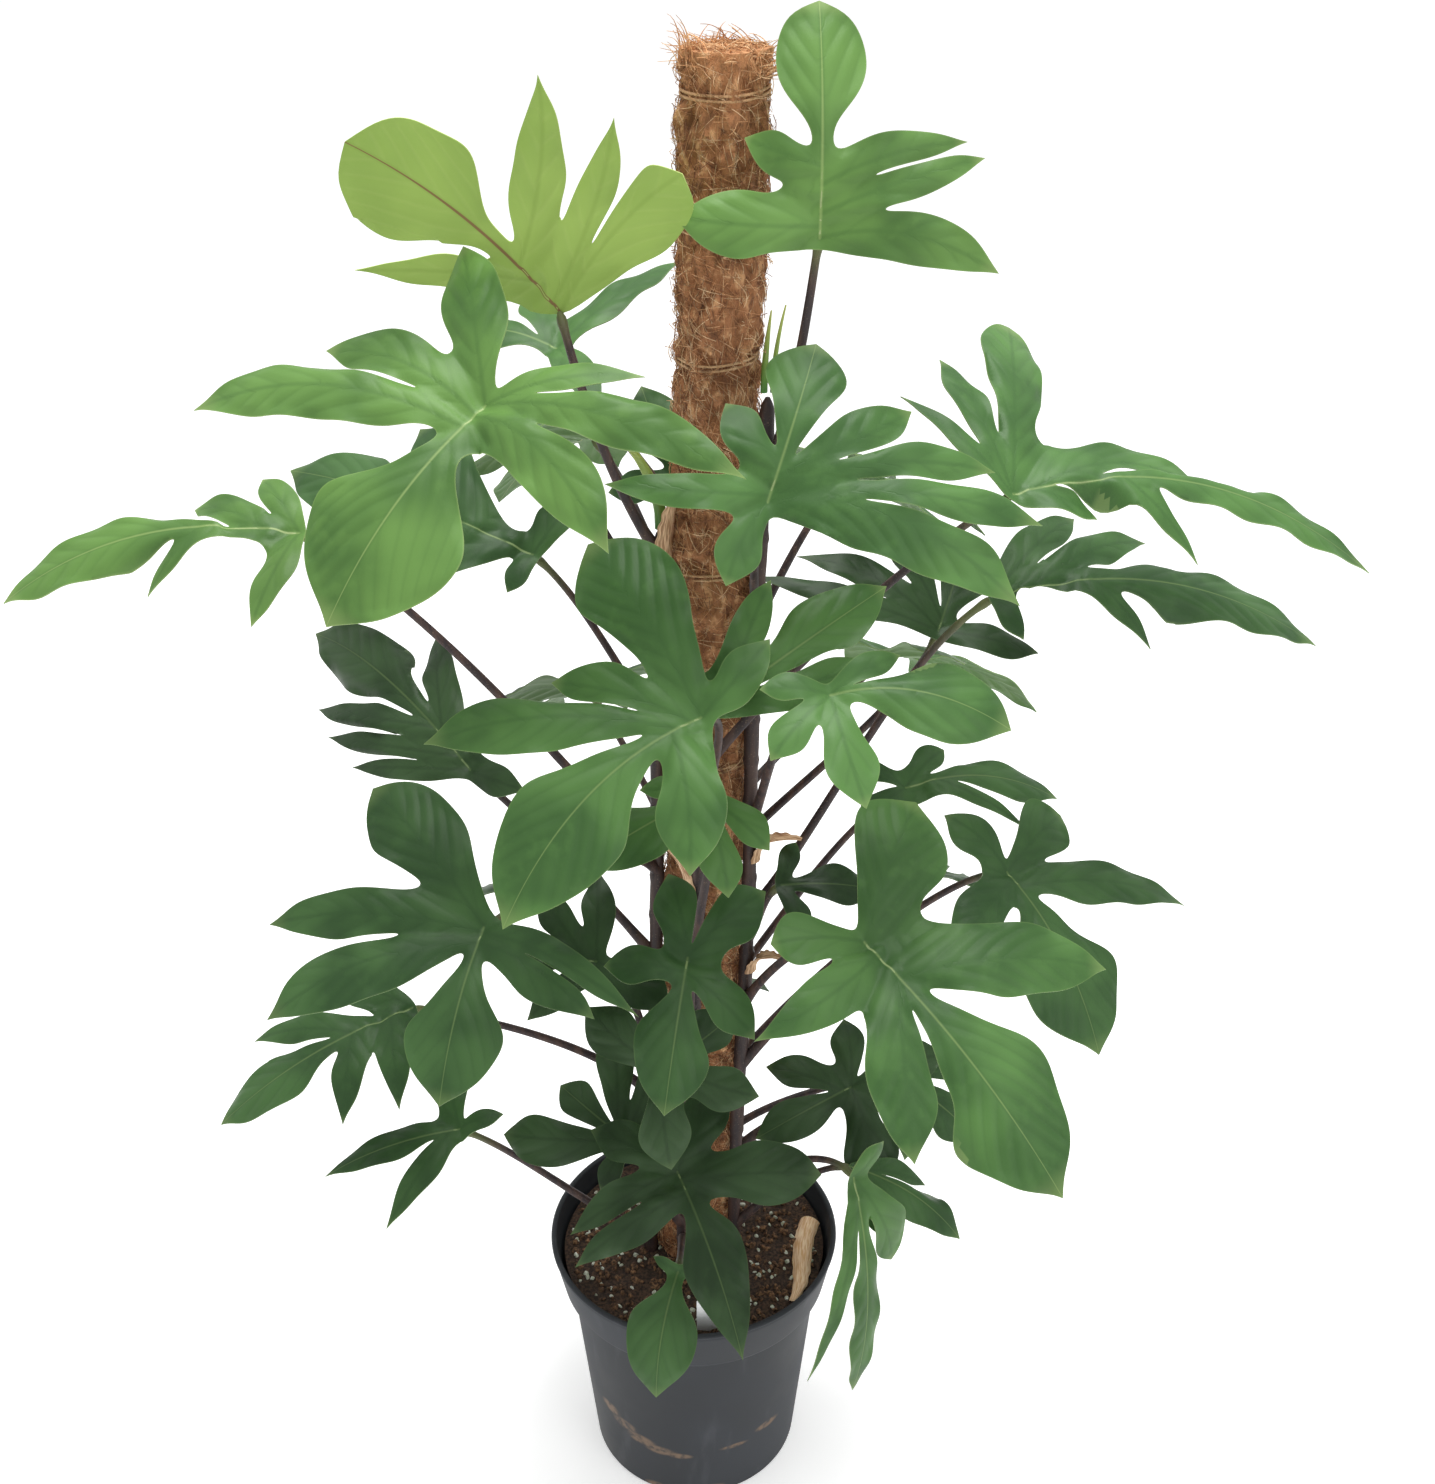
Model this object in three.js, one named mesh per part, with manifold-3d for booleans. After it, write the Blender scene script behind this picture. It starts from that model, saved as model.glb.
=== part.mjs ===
// A climbing philodendron with pedate leaves, tied to a coir pole in a plastic nursery pot.
// Millimetres, +Z up. The origin is the centre of the pot's underside and the plant's front looks along -Y.
import * as THREE from "three";
import { mergeVertices } from "three/addons/utils/BufferGeometryUtils.js";
import Module from "manifold-3d";

// Pot
const POT_HEIGHT = 230;
const RIM_RADIUS = 120;
const COLLAR_RADIUS = 112;
const COLLAR_HEIGHT = 42;
const BODY_TOP_RADIUS = 104;
const FOOT_RADIUS = 88;
const FOOT_ROUND = 5;
const POT_WALL = 2.4;
const POT_SIDES = 32;
const DRAIN_COUNT = 8;
const DRAIN_RADIUS = 6;
const DRAIN_CIRCLE = 68;

// Soil
const SOIL_LEVEL = 212;
const SOIL_MOUND = 6;
const SOIL_CLOD = 1.6;
const SEAT_GAP = 0.3;

// Pole: a wooden stake inside a coir sleeve. It leans a little to the right on its way up.
const POLE_LEAN = 0.026;
const POLE_TOP = 1172;
const COIR_FOOT = 120;
const COIR_RADIUS_LOW = 30;
const COIR_RADIUS_HIGH = 26.5;
const COIR_LUMP = 1.8;
const COIR_SIDES = 14;
const COIR_STEP = 44;
const STAKE_FOOT = 30;
const STAKE_RADIUS = 11;
const STAKE_SIDES = 12;
const STAKE_HEADROOM = 22;
const TWINE_LEVELS = [1128, 985, 840, 690, 540, 390];

// Stems, leaf stalks and blades
const STEM_RADIUS = 6;
const STEM_FOOT = 140;
const STEM_STEP = 60;
const STALK_ROOT_RADIUS = 4.2;
const STALK_TIP_RADIUS = 2.4;
const STALK_LIFT = 0.84;
const STALK_SPREAD = 0.55;
const STALK_SIDES = 5;
const STALK_STEPS = 5;
const BLADE_THICKNESS = 0.9;
const BLADE_ARCH = 0.1;
const BLADE_DROOP = 0.14;
const RIB_BEND = 8;
const RIB_CHORDS = 8;
const SIDE_WEB = 0.36;
const SINUS_NOTCH = 3;
const BASE_SINUS = 5;
const NEIGHBOUR_SHARE = 0.45;
const LOBE_GAP = 3;
const MIDRIB_SHARE = 0.8;
const END_WEB = 0.12;
const END_TAPER = [0.5, 0.86];
const LONG_LOBE = 152;

// Dry sheaths, spears and the label
const STRIP_THICKNESS = 0.8;
const STRIP_STEPS = 5;
const STRIP_FACETS = 4;
const SPEAR_TIP_RADIUS = 0.5;
const LABEL_WIDTH = 21;
const LABEL_THICKNESS = 1;
const LABEL_LENGTH = 92;
const LABEL_TOP = [14, -104, 254];
const LABEL_LEAN = 9;

const pot = new THREE.MeshStandardMaterial({ color: 0x4a4c50, roughness: 0.6 });
const soil = new THREE.MeshStandardMaterial({ color: 0x35261d, roughness: 1 });
const coir = new THREE.MeshStandardMaterial({ color: 0x9b6440, roughness: 1 });
const wood = new THREE.MeshStandardMaterial({ color: 0xb08c5e, roughness: 0.8 });
const stalkBark = new THREE.MeshStandardMaterial({ color: 0x3b2c2b, roughness: 0.6 });
const leafGreen = new THREE.MeshStandardMaterial({ color: 0x3f7a3c, roughness: 0.5 });
const youngGreen = new THREE.MeshStandardMaterial({ color: 0x8db356, roughness: 0.5 });
const drySheath = new THREE.MeshStandardMaterial({ color: 0xc9a27c, roughness: 0.9 });
const white = new THREE.MeshStandardMaterial({ color: 0xf2f2ef, roughness: 0.5 });

// The climbing stems: the side of the pole each keeps to, as a compass angle from the front, and its top.
const STEMS = {
  stem_left: { side: -75, top: 870 },
  stem_front: { side: -12, top: 770 },
  stem_right: { side: 62, top: 965 },
  stem_back: { side: 170, top: 900 },
};

// Rolled new leaves, each standing on a stem's top: the stem, where on its top, the tip and the foot's
// radius
const SPEARS = {
  spear_left: { stem: "stem_left", aside: 0, tip: [-47, -32, 948], radius: 4.4 },
  spear_right: { stem: "stem_right", aside: -2.6, tip: [54, 6, 1012], radius: 2.4 },
  spear_right_thin: { stem: "stem_right", aside: 3, tip: [63, 4, 1016], radius: 1.8 },
};

// Dry sheaths on the stems: the stem, the foot's height, the side it stands on, how far its tip is out
// and up from the foot, and its width
const SHEATHS = {
  sheath_front_top: { stem: "stem_front", foot: 728, side: -30, tip: [10, 76], width: 14.6 },
  sheath_front_mid: { stem: "stem_front", foot: 588, side: -62, tip: [26, 64], width: 14.4 },
  sheath_front_low: { stem: "stem_front", foot: 408, side: 58, tip: [16, 78], width: 15.4 },
  sheath_left_top: { stem: "stem_left", foot: 828, side: 32, tip: [14, 72], width: 14.6 },
  sheath_right_mid: { stem: "stem_right", foot: 612, side: 72, tip: [31, 24], width: 14.4 },
  sheath_right_low: { stem: "stem_right", foot: 512, side: 60, tip: [24, 20], width: 14.6 },
};

// A fallen sheath that lies on the soil, from back to front
const FALLEN_SHEATH = { path: [[100, 22], [92, -10], [89, -42], [81, -72]], width: 13 };
const FALLEN_LIFT = 7;
const FALLEN_SPANS = [60, 60];
const SHEATH_SPANS = [66, 30];

// Lobe shapes: the neck's width as a share of the widest, how far the neck and the widening reach along
// the rib, and how sharply the end tapers.
const LANCE = { neck: 1, waist: 0.1, widest: 0.3, taper: 1.1 };
const STRAP = { neck: 0.85, waist: 0.15, widest: 0.52, taper: 0.75 };
const OVATE = { neck: 0.4, waist: 0.12, widest: 0.46, taper: 0.72 };
const PADDLE = { neck: 0.45, waist: 0.18, widest: 0.6, taper: 0.52 };
const SPOON = { neck: 0.22, waist: 0.3, widest: 0.68, taper: 0.48 };

// The blades. base: where the stalk meets the blade. face: the compass angle that the upper side looks
// to, from the front, and its height above level, in degrees. turn: the midrib's angle from straight down
// the slope. tip: the midrib's length, the half width of the end lobe, its shape and the midrib's bend in
// degrees. lobes: start along the midrib, angle from it, length, half width, shape and bend. stalk: its
// stem and where it leaves it.
const BLADES = {
  lime_top: {
    base: [-75, -40, 1025], face: [170, 15], turn: 132, tip: [156, 39, SPOON],
    lobes: [[0.22, 61, 128, 18, LANCE], [0.04, 70, 130, 15, LANCE], [0, 89, 123, 30, SPOON, -10],
      [0.15, -39, 109, 13, LANCE]],
    stalk: ["stem_left", 850],
  },
  top_right: {
    base: [80, -52, 1072], face: [5, 20], turn: 179, tip: [132, 27, SPOON],
    lobes: [[0.22, -74, 91, 14, LANCE, -12], [0.1, -72, 103, 12, STRAP, -5], [0, -101, 109, 16, STRAP, -25],
      [0.3, 69, 47, 15, OVATE], [0.05, 86, 86, 21, OVATE]],
    stalk: ["stem_right", 900, 1.3],
  },
  left_upper: {
    base: [-115, -110, 990], face: [-20, 45], turn: -21, tip: [158, 49, OVATE],
    lobes: [[0.12, -66, 182, 21, STRAP, 18], [0.05, -84, 114, 21, STRAP, 20], [0, -135, 110, 22, OVATE],
      [0.06, 77, 124, 22, STRAP, 28], [0, 103, 168, 16, STRAP, 12], [0, 129, 97, 12, LANCE]],
    stalk: ["stem_left", 800],
  },
  far_left: {
    base: [-250, -40, 880], face: [-30, 60], turn: -59, tip: [212, 19, OVATE, -12],
    lobes: [[0.3, 38, 54, 8, STRAP], [0.1, -34, 69, 15, STRAP], [0, 68, 75, 13, OVATE],
      [0, -62, 63, 12, STRAP]],
    stalk: ["stem_left", 600],
  },
  left_behind: {
    base: [-110, 50, 825], face: [-20, 50], turn: -100, tip: [214, 33, OVATE],
    lobes: [[0.1, 41, 83, 12, LANCE], [0, 83, 33, 14, OVATE], [0.25, -39, 101, 24, STRAP],
      [0, -101, 50, 20, OVATE]],
    stalk: ["stem_back", 620],
  },
  crown_back: {
    base: [-85, 30, 980], face: [-10, 70], turn: -103, tip: [63, 19, OVATE],
    lobes: [[0.1, -48, 55, 15, OVATE], [0, -110, 121, 14, LANCE], [0, 135, 81, 14, LANCE]],
    stalk: ["stem_back", 820],
  },
  centre_front: {
    base: [10, -150, 805], face: [-10, 45], turn: -36, tip: [176, 38, OVATE, -18],
    lobes: [[0.1, -46, 160, 23, STRAP, 12], [0.04, -65, 93, 21, OVATE], [0, -105, 138, 37, PADDLE],
      [0.12, 50, 89, 24, STRAP, 15], [0, -178, 65, 15, OVATE]],
    stalk: ["stem_front", 600, 1.4],
  },
  centre_behind: {
    base: [14, -130, 798], face: [15, 40], turn: 117, tip: [147, 23, OVATE],
    lobes: [[0.1, 33, 84, 13, STRAP], [0.05, -19, 112, 14, STRAP], [0, 98, 62, 13, OVATE]],
    stalk: ["stem_front", 640, 1.4],
  },
  centre_mid: {
    base: [10, -95, 715], face: [0, 45], turn: -59, tip: [94, 23, OVATE],
    lobes: [[0, 73, 71, 20, OVATE], [0, -36, 42, 15, OVATE], [0, 109, 58, 19, OVATE]],
    stalk: ["stem_front", 560],
  },
  right_upper: {
    base: [50, -110, 930], face: [10, 38], turn: 157, tip: [105, 30, PADDLE],
    lobes: [[0.2, 55, 51, 20, OVATE], [0.15, -45, 96, 20, STRAP], [0.04, -65, 141, 15, STRAP, -15],
      [0, -76, 170, 18, STRAP, -12], [0, -94, 165, 25, STRAP, -26], [0, 171, 58, 21, STRAP, -15],
      [0.04, 105, 99, 11, STRAP]],
    stalk: ["stem_right", 760, 1.2],
  },
  right_far: {
    base: [205, -60, 915], face: [40, 60], turn: 56, tip: [264, 16, OVATE, 17],
    lobes: [[0.05, 15, 144, 20, STRAP, 20], [0.28, -36, 71, 9, LANCE], [0.05, -12, 47, 12, STRAP],
      [0, 83, 161, 24, SPOON], [0, 109, 116, 14, STRAP], [0, 137, 96, 8, LANCE]],
    stalk: ["stem_front", 690],
  },
  right_second: {
    base: [205, -20, 825], face: [35, 60], turn: 62, tip: [249, 24, OVATE, 14],
    lobes: [[0.1, 32, 124, 16, LANCE], [0.28, -39, 59, 11, LANCE], [0, 48, 112, 15, STRAP],
      [0, -63, 37, 11, STRAP]],
    stalk: ["stem_right", 560],
  },
  right_inner: {
    base: [175, 20, 780], face: [20, 60], turn: 145, tip: [80, 26, OVATE],
    lobes: [[0, 80, 113, 17, LANCE, -15], [0.1, 40, 79, 17, OVATE], [0, -81, 73, 14, STRAP],
      [0, 95, 140, 11, LANCE]],
    stalk: ["stem_back", 560],
  },
  right_mid: {
    base: [88, -160, 826], face: [10, 50], turn: 73, tip: [112, 27, PADDLE, 20],
    lobes: [[0, -65, 74, 21, STRAP], [0, 42, 52, 12, OVATE], [0, -173, 43, 16, OVATE],
      [0, -121, 57, 19, OVATE]],
    stalk: ["stem_right", 640],
  },
  right_lower: {
    base: [115, -170, 650], face: [15, 50], turn: 26, tip: [201, 42, OVATE],
    lobes: [[0.16, 58, 144, 26, STRAP, 12], [0.15, -33, 117, 24, STRAP, 8], [0.06, -92, 99, 18, LANCE, -10],
      [0, 121, 105, 40, PADDLE], [0, -124, 62, 28, PADDLE]],
    stalk: ["stem_right", 480],
  },
  right_back: {
    base: [230, -30, 610], face: [40, 55], turn: -10, tip: [145, 41, OVATE],
    lobes: [[0.1, 71, 146, 20, LANCE], [0, 114, 77, 35, PADDLE], [0.05, -63, 88, 20, OVATE],
      [0, -152, 61, 20, OVATE]],
    stalk: ["stem_right", 420],
  },
  right_back_upper: {
    base: [160, 30, 645], face: [40, 60], turn: 62, tip: [129, 18, OVATE, 14],
    lobes: [[0.2, -26, 78, 7, LANCE], [0, 43, 55, 16, OVATE], [0, 153, 46, 19, PADDLE],
      [0, -138, 60, 16, OVATE]],
    stalk: ["stem_back", 430],
  },
  left_lower: {
    base: [-135, -140, 640], face: [-15, 50], turn: 0, tip: [120, 37, OVATE],
    lobes: [[0.1, -61, 151, 25, STRAP, 16], [0.03, -83, 151, 18, STRAP, 10], [0, -129, 133, 31, PADDLE],
      [0.1, 68, 95, 20, STRAP, 16], [0.03, 72, 123, 13, LANCE, 12]],
    stalk: ["stem_left", 600],
  },
  centre_small: {
    base: [0, -140, 615], face: [0, 50], turn: -8, tip: [106, 28, OVATE],
    lobes: [[0.1, 54, 64, 18, STRAP], [0, 139, 70, 24, OVATE], [0, -159, 60, 22, OVATE],
      [0.1, -87, 55, 19, OVATE]],
    stalk: ["stem_front", 450],
  },
  left_dark: {
    base: [-155, -20, 690], face: [-40, 50], turn: -102, tip: [212, 26, OVATE, -12],
    lobes: [[0.2, 23, 124, 14, LANCE], [0.06, 25, 128, 11, LANCE], [0, 32, 105, 10, LANCE],
      [0.15, -33, 95, 18, LANCE, 10], [0, -164, 52, 13, OVATE]],
    stalk: ["stem_left", 520],
  },
  left_low_back: {
    base: [-205, -60, 510], face: [-30, 60], turn: -35, tip: [162, 23, OVATE],
    lobes: [[0.28, -34, 86, 13, LANCE], [0.28, 57, 65, 14, LANCE], [0.1, 71, 73, 14, LANCE],
      [0, -49, 74, 16, STRAP]],
    stalk: ["stem_left", 380],
  },
  left_bottom: {
    base: [-175, -80, 410], face: [-30, 65], turn: -47, tip: [108, 15, LANCE],
    lobes: [[0.06, 44, 85, 12, LANCE], [0, -86, 70, 20, OVATE], [0, 179, 35, 11, OVATE]],
    stalk: ["stem_left", 232, 0.45],
  },
  centre_left_dark: {
    base: [-66, -84, 570], face: [-20, 50], turn: -79, tip: [70, 25, OVATE],
    lobes: [[0, -85, 68, 17, LANCE], [0.1, -48, 68, 18, LANCE], [0, 150, 65, 20, OVATE],
      [0.1, 48, 59, 18, LANCE]],
    stalk: ["stem_left", 430],
  },
  front_left_dark: {
    base: [-50, -78, 397], face: [-20, 50], turn: -114, tip: [69, 32, OVATE],
    lobes: [[0.1, -47, 89, 19, STRAP], [0, 35, 98, 21, PADDLE], [0, -72, 73, 19, OVATE],
      [0, 102, 41, 20, OVATE]],
    stalk: ["stem_front", 270],
  },
  front_bottom: {
    base: [-10, -110, 395], face: [0, 45], turn: 20, tip: [142, 25, LANCE, 6],
    lobes: [[0.12, -77, 98, 18, LANCE], [0, -80, 91, 18, LANCE], [0.06, 73, 104, 24, PADDLE],
      [0, 130, 76, 20, STRAP], [0, -135, 72, 20, STRAP]],
    stalk: ["stem_front", 300],
  },
  front_dark: {
    base: [-20, -98, 484], face: [4, 30], turn: 125, tip: [66, 23, OVATE],
    lobes: [[0.1, -58, 70, 20, STRAP], [0, -122, 74, 24, OVATE], [0, 104, 72, 24, OVATE]],
    stalk: ["stem_front", 496, 0.4],
  },
  front_low: {
    base: [-10, -130, 312], face: [0, 35], turn: -10, tip: [94, 28, OVATE, -10],
    lobes: [[0, 112, 22, 11, OVATE], [0, -112, 22, 11, OVATE]],
    stalk: ["stem_front", 250],
  },
  right_hang: {
    base: [124, -90, 370], face: [34, 12], turn: -7, tip: [188, 14, PADDLE],
    lobes: [[0.1, -17, 150, 7, LANCE], [0, 24, 92, 26, OVATE], [0, 128, 36, 13, OVATE]],
    stalk: ["stem_right", 290],
  },
  right_bottom_out: {
    base: [125, -40, 335], face: [40, 50], turn: 31, tip: [110, 18, OVATE, 10],
    lobes: [[0.1, 21, 59, 12, LANCE], [0, -32, 65, 15, OVATE]],
    stalk: ["stem_right", 250],
  },
  right_low_dark: {
    base: [129, 20, 365], face: [10, 50], turn: -69, tip: [90, 19, OVATE],
    lobes: [[0.1, -46, 65, 18, OVATE], [0, -114, 56, 22, OVATE], [0, 73, 82, 30, OVATE],
      [0, 171, 85, 22, OVATE]],
    stalk: ["stem_right", 330],
  },
  right_stub: {
    base: [66, -45, 609], face: [20, 55], turn: 75, tip: [69, 20, OVATE],
    lobes: [[0, -60, 39, 15, OVATE], [0, 70, 36, 14, OVATE]],
    stalk: ["stem_right", 540],
  },
  round_left: {
    base: [-8, 62, 880], face: [-15, 30], turn: -150, tip: [68, 22, OVATE],
    lobes: [[0, -70, 55, 16, OVATE], [0, 80, 51, 15, OVATE]],
    stalk: ["stem_back", 760],
  },
  back_top_left: {
    base: [-71, 134, 880], face: [-150, 50], turn: 20, tip: [120, 29, OVATE],
    lobes: [[0.1, 55, 96, 19, STRAP], [0, 100, 84, 22, OVATE], [0.1, -58, 92, 19, STRAP],
      [0, -105, 70, 20, OVATE]],
    stalk: ["stem_back", 700],
  },
  back_top_right: {
    base: [112, 88, 868], face: [140, 50], turn: -15, tip: [132, 31, OVATE],
    lobes: [[0.1, 56, 104, 20, STRAP], [0, 104, 82, 22, OVATE], [0.1, -54, 98, 18, STRAP],
      [0, -112, 78, 20, OVATE]],
    stalk: ["stem_back", 720],
  },
  back_mid_left: {
    base: [-80, 130, 672], face: [-150, 48], turn: 10, tip: [150, 33, OVATE],
    lobes: [[0.14, 48, 128, 22, STRAP], [0, 96, 104, 26, PADDLE], [0.14, -50, 122, 21, STRAP],
      [0, -100, 96, 24, PADDLE]],
    stalk: ["stem_back", 520],
  },
  back_mid_right: {
    base: [150, 140, 700], face: [150, 50], turn: -12, tip: [140, 32, OVATE],
    lobes: [[0.14, 50, 118, 21, STRAP], [0, 98, 92, 24, PADDLE], [0.14, -48, 120, 21, STRAP],
      [0, -104, 88, 24, PADDLE]],
    stalk: ["stem_back", 590],
  },
  back_low_left: {
    base: [-150, 118, 496], face: [-140, 50], turn: 14, tip: [118, 27, OVATE],
    lobes: [[0.1, 54, 96, 19, STRAP], [0, 110, 72, 20, OVATE], [0.1, -52, 98, 19, STRAP]],
    stalk: ["stem_back", 380],
  },
  back_low_right: {
    base: [196, 120, 506], face: [140, 52], turn: -16, tip: [112, 26, OVATE],
    lobes: [[0.1, 52, 92, 18, STRAP], [0, 108, 70, 20, OVATE], [0.1, -55, 94, 18, STRAP]],
    stalk: ["stem_back", 340],
  },
  back_bottom: {
    base: [-24, 138, 380], face: [175, 50], turn: -8, tip: [114, 27, OVATE],
    lobes: [[0.1, 56, 92, 18, STRAP], [0.1, -54, 97, 20, STRAP], [0, -118, 66, 21, OVATE],
      [0, 116, 68, 21, OVATE]],
    stalk: ["stem_back", 250],
  },
  right_low_back: {
    base: [174, 62, 338], face: [40, 50], turn: 25, tip: [83, 25, OVATE],
    lobes: [[0, 54, 65, 22, OVATE], [0.1, -63, 65, 18, OVATE]],
    stalk: ["stem_back", 280],
  },
};

const wasm = await Module();
wasm.setup();

function solidOf(geometry) {
  const bare = geometry.clone();
  bare.deleteAttribute("normal");
  bare.deleteAttribute("uv");
  const merged = mergeVertices(bare, 1e-4);
  return new wasm.Manifold(
    new wasm.Mesh({
      numProp: 3,
      vertProperties: new Float32Array(merged.attributes.position.array),
      triVerts: new Uint32Array(merged.index.array),
    }),
  );
}

function geometryOf(solid) {
  const mesh = solid.getMesh();
  const geometry = new THREE.BufferGeometry();
  geometry.setAttribute("position", new THREE.BufferAttribute(new Float32Array(mesh.vertProperties), 3));
  geometry.setIndex(new THREE.BufferAttribute(new Uint32Array(mesh.triVerts), 1));
  geometry.computeVertexNormals();
  return geometry;
}

const fuse = (pieces) => geometryOf(pieces.map(solidOf).reduce((all, next) => all.add(next)));
const cut = (body, tools) => {
  const left = tools.map(solidOf).reduce((rest, tool) => rest.subtract(tool), solidOf(body));
  return geometryOf(left);
};

function triangleMesh(points, triangles) {
  const geometry = new THREE.BufferGeometry().setFromPoints(points);
  geometry.setIndex(triangles);
  return geometry;
}

// Triangles that close a loft's end, as places in its ring: a fan on a round ring, pairs across a folded
// strip
const fanCap = (count) => Array.from({ length: count - 2 }, (_, i) => [0, i + 1, i + 2]);
const stripCap = (count) =>
  Array.from({ length: count / 2 - 1 }, (_, i) => [
    [i, i + 1, count - 2 - i],
    [i, count - 2 - i, count - 1 - i],
  ]).flat();

// Closes rings of points, from first to last, into a solid with flat ends.
function loft(rings, capOf = fanCap) {
  const count = rings[0].length;
  const points = rings.flat();
  const triangles = [];
  for (let ring = 0; ring + 1 < rings.length; ring++) {
    for (let i = 0; i < count; i++) {
      const next = (i + 1) % count;
      const [a, b] = [ring * count + i, ring * count + next];
      triangles.push(a, b, b + count, a, b + count, a + count);
    }
  }
  const last = (rings.length - 1) * count;
  for (const [a, b, c] of capOf(count)) triangles.push(a, c, b, last + a, last + b, last + c);
  return triangleMesh(points, triangles);
}

// Carries a cross-section along a curve. sectionAt gives its points, counter-clockwise, for 0 to 1 along
// it.
function sweep(curve, steps, sectionAt) {
  const frames = curve.computeFrenetFrames(steps, false);
  const rings = [];
  for (let step = 0; step <= steps; step++) {
    const centre = curve.getPointAt(step / steps);
    const across = frames.normals[step];
    const up = frames.binormals[step];
    rings.push(
      sectionAt(step / steps).map((p) =>
        centre.clone().addScaledVector(across, p.x).addScaledVector(up, p.y)),
    );
  }
  return loft(rings);
}

function circle(radius, sides) {
  return Array.from({ length: sides }, (_, i) => {
    const angle = (2 * Math.PI * i) / sides;
    return new THREE.Vector2(radius * Math.cos(angle), radius * Math.sin(angle));
  });
}

function compass(angle, radius, z) {
  const turn = THREE.MathUtils.degToRad(angle);
  return new THREE.Vector3(radius * Math.sin(turn), -radius * Math.cos(turn), z);
}

// Pole and soil, which everything else is placed from
const poleShift = (z) => POLE_LEAN * (z - SOIL_LEVEL);
const poleShare = (z) => THREE.MathUtils.clamp((z - COIR_FOOT) / (POLE_TOP - COIR_FOOT), 0, 1);
const coirRadius = (z) => THREE.MathUtils.lerp(COIR_RADIUS_LOW, COIR_RADIUS_HIGH, poleShare(z));

function poleRing(z, radiusAt, sides) {
  return circle(1, sides).map((p, i) => {
    const radius = radiusAt((2 * Math.PI * i) / sides, z);
    return new THREE.Vector3(poleShift(z) + p.x * radius, p.y * radius, z);
  });
}

function coirSurface(angle, z) {
  const lump = Math.sin(3 * angle + z / 31) + Math.sin(5 * angle - z / 17) + Math.sin(2 * angle + z / 57);
  const tied = TWINE_LEVELS.reduce((sum, level) => sum + Math.exp(-(((z - level) / 14) ** 2)), 0);
  const crown = z > POLE_TOP - 4 ? 4 : 0;
  return coirRadius(z) + (COIR_LUMP * lump) / 3 - 1.4 * tied - crown;
}

function stakeGeometry(extra) {
  const plain = () => STAKE_RADIUS + extra;
  const levels = [STAKE_FOOT - extra, POLE_TOP - STAKE_HEADROOM + extra];
  return loft(levels.map((z) => poleRing(z, plain, STAKE_SIDES)));
}

function coirGeometry() {
  const steps = Math.round((POLE_TOP - COIR_FOOT) / COIR_STEP);
  const levels = Array.from({ length: steps }, (_, i) => COIR_FOOT + i * COIR_STEP);
  levels.push(POLE_TOP - 5, POLE_TOP);
  const sleeve = loft(levels.map((z) => poleRing(z, coirSurface, COIR_SIDES)));
  return cut(sleeve, [stakeGeometry(SEAT_GAP)]);
}

function poleHole() {
  const wide = (angle, z) => coirSurface(angle, z) + 2 * SEAT_GAP;
  const levels = [COIR_FOOT - SEAT_GAP];
  for (let z = COIR_FOOT + COIR_STEP; z < POT_HEIGHT + COIR_STEP; z += COIR_STEP) levels.push(z);
  return loft(levels.map((z) => poleRing(z, wide, COIR_SIDES)));
}

function potGeometry() {
  const collarFoot = POT_HEIGHT - COLLAR_HEIGHT;
  const profile = [
    [0, 0],
    [FOOT_RADIUS - FOOT_ROUND, 0],
    [FOOT_RADIUS, FOOT_ROUND],
    [BODY_TOP_RADIUS, collarFoot - 8],
    [COLLAR_RADIUS, collarFoot],
    [RIM_RADIUS - 1, POT_HEIGHT - 4],
    [RIM_RADIUS, POT_HEIGHT - 1.5],
    [RIM_RADIUS - 1.5, POT_HEIGHT],
    [RIM_RADIUS - 1.5 - POT_WALL, POT_HEIGHT - 1],
    [COLLAR_RADIUS - POT_WALL, collarFoot],
    [BODY_TOP_RADIUS - POT_WALL, collarFoot - 8],
    [FOOT_RADIUS - POT_WALL, FOOT_ROUND],
    [0, POT_WALL],
  ].map(([x, y]) => new THREE.Vector2(x, y));
  const shell = new THREE.LatheGeometry(profile, POT_SIDES).rotateX(Math.PI / 2);
  const drains = Array.from({ length: DRAIN_COUNT }, (_, i) => {
    const centre = compass((360 * i) / DRAIN_COUNT, DRAIN_CIRCLE, 0);
    return new THREE.CylinderGeometry(DRAIN_RADIUS, DRAIN_RADIUS, 4 * FOOT_ROUND, 10)
      .rotateX(Math.PI / 2)
      .translate(centre.x, centre.y, 0);
  });
  return cut(shell, drains);
}

function soilGeometry(holes) {
  const wall = POT_WALL + 2 * SEAT_GAP;
  const collarFoot = POT_HEIGHT - COLLAR_HEIGHT;
  const topRadius = COLLAR_RADIUS - wall + ((SOIL_LEVEL - collarFoot) / COLLAR_HEIGHT) * 6;
  const sides = [
    [0.12, POT_WALL + 1],
    [FOOT_RADIUS - wall - 3, POT_WALL + FOOT_ROUND],
    [BODY_TOP_RADIUS - wall, collarFoot - 8.5],
    [COLLAR_RADIUS - wall, collarFoot],
    [topRadius, SOIL_LEVEL - 2],
  ];
  const rings = sides.map(([radius, z]) =>
    circle(radius, POT_SIDES).map((p) => new THREE.Vector3(p.x, p.y, z)));
  for (const share of [0.75, 0.4]) {
    rings.push(
      circle(topRadius * share, POT_SIDES).map((p, i) => {
        const clod = Math.sin(i * 2.3 + share * 9) + Math.sin(i * 1.1 - share * 17);
        return new THREE.Vector3(p.x, p.y, SOIL_LEVEL + SOIL_MOUND * (1 - share) + SOIL_CLOD * clod);
      }),
    );
  }
  return cut(loft(rings), holes);
}

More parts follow.
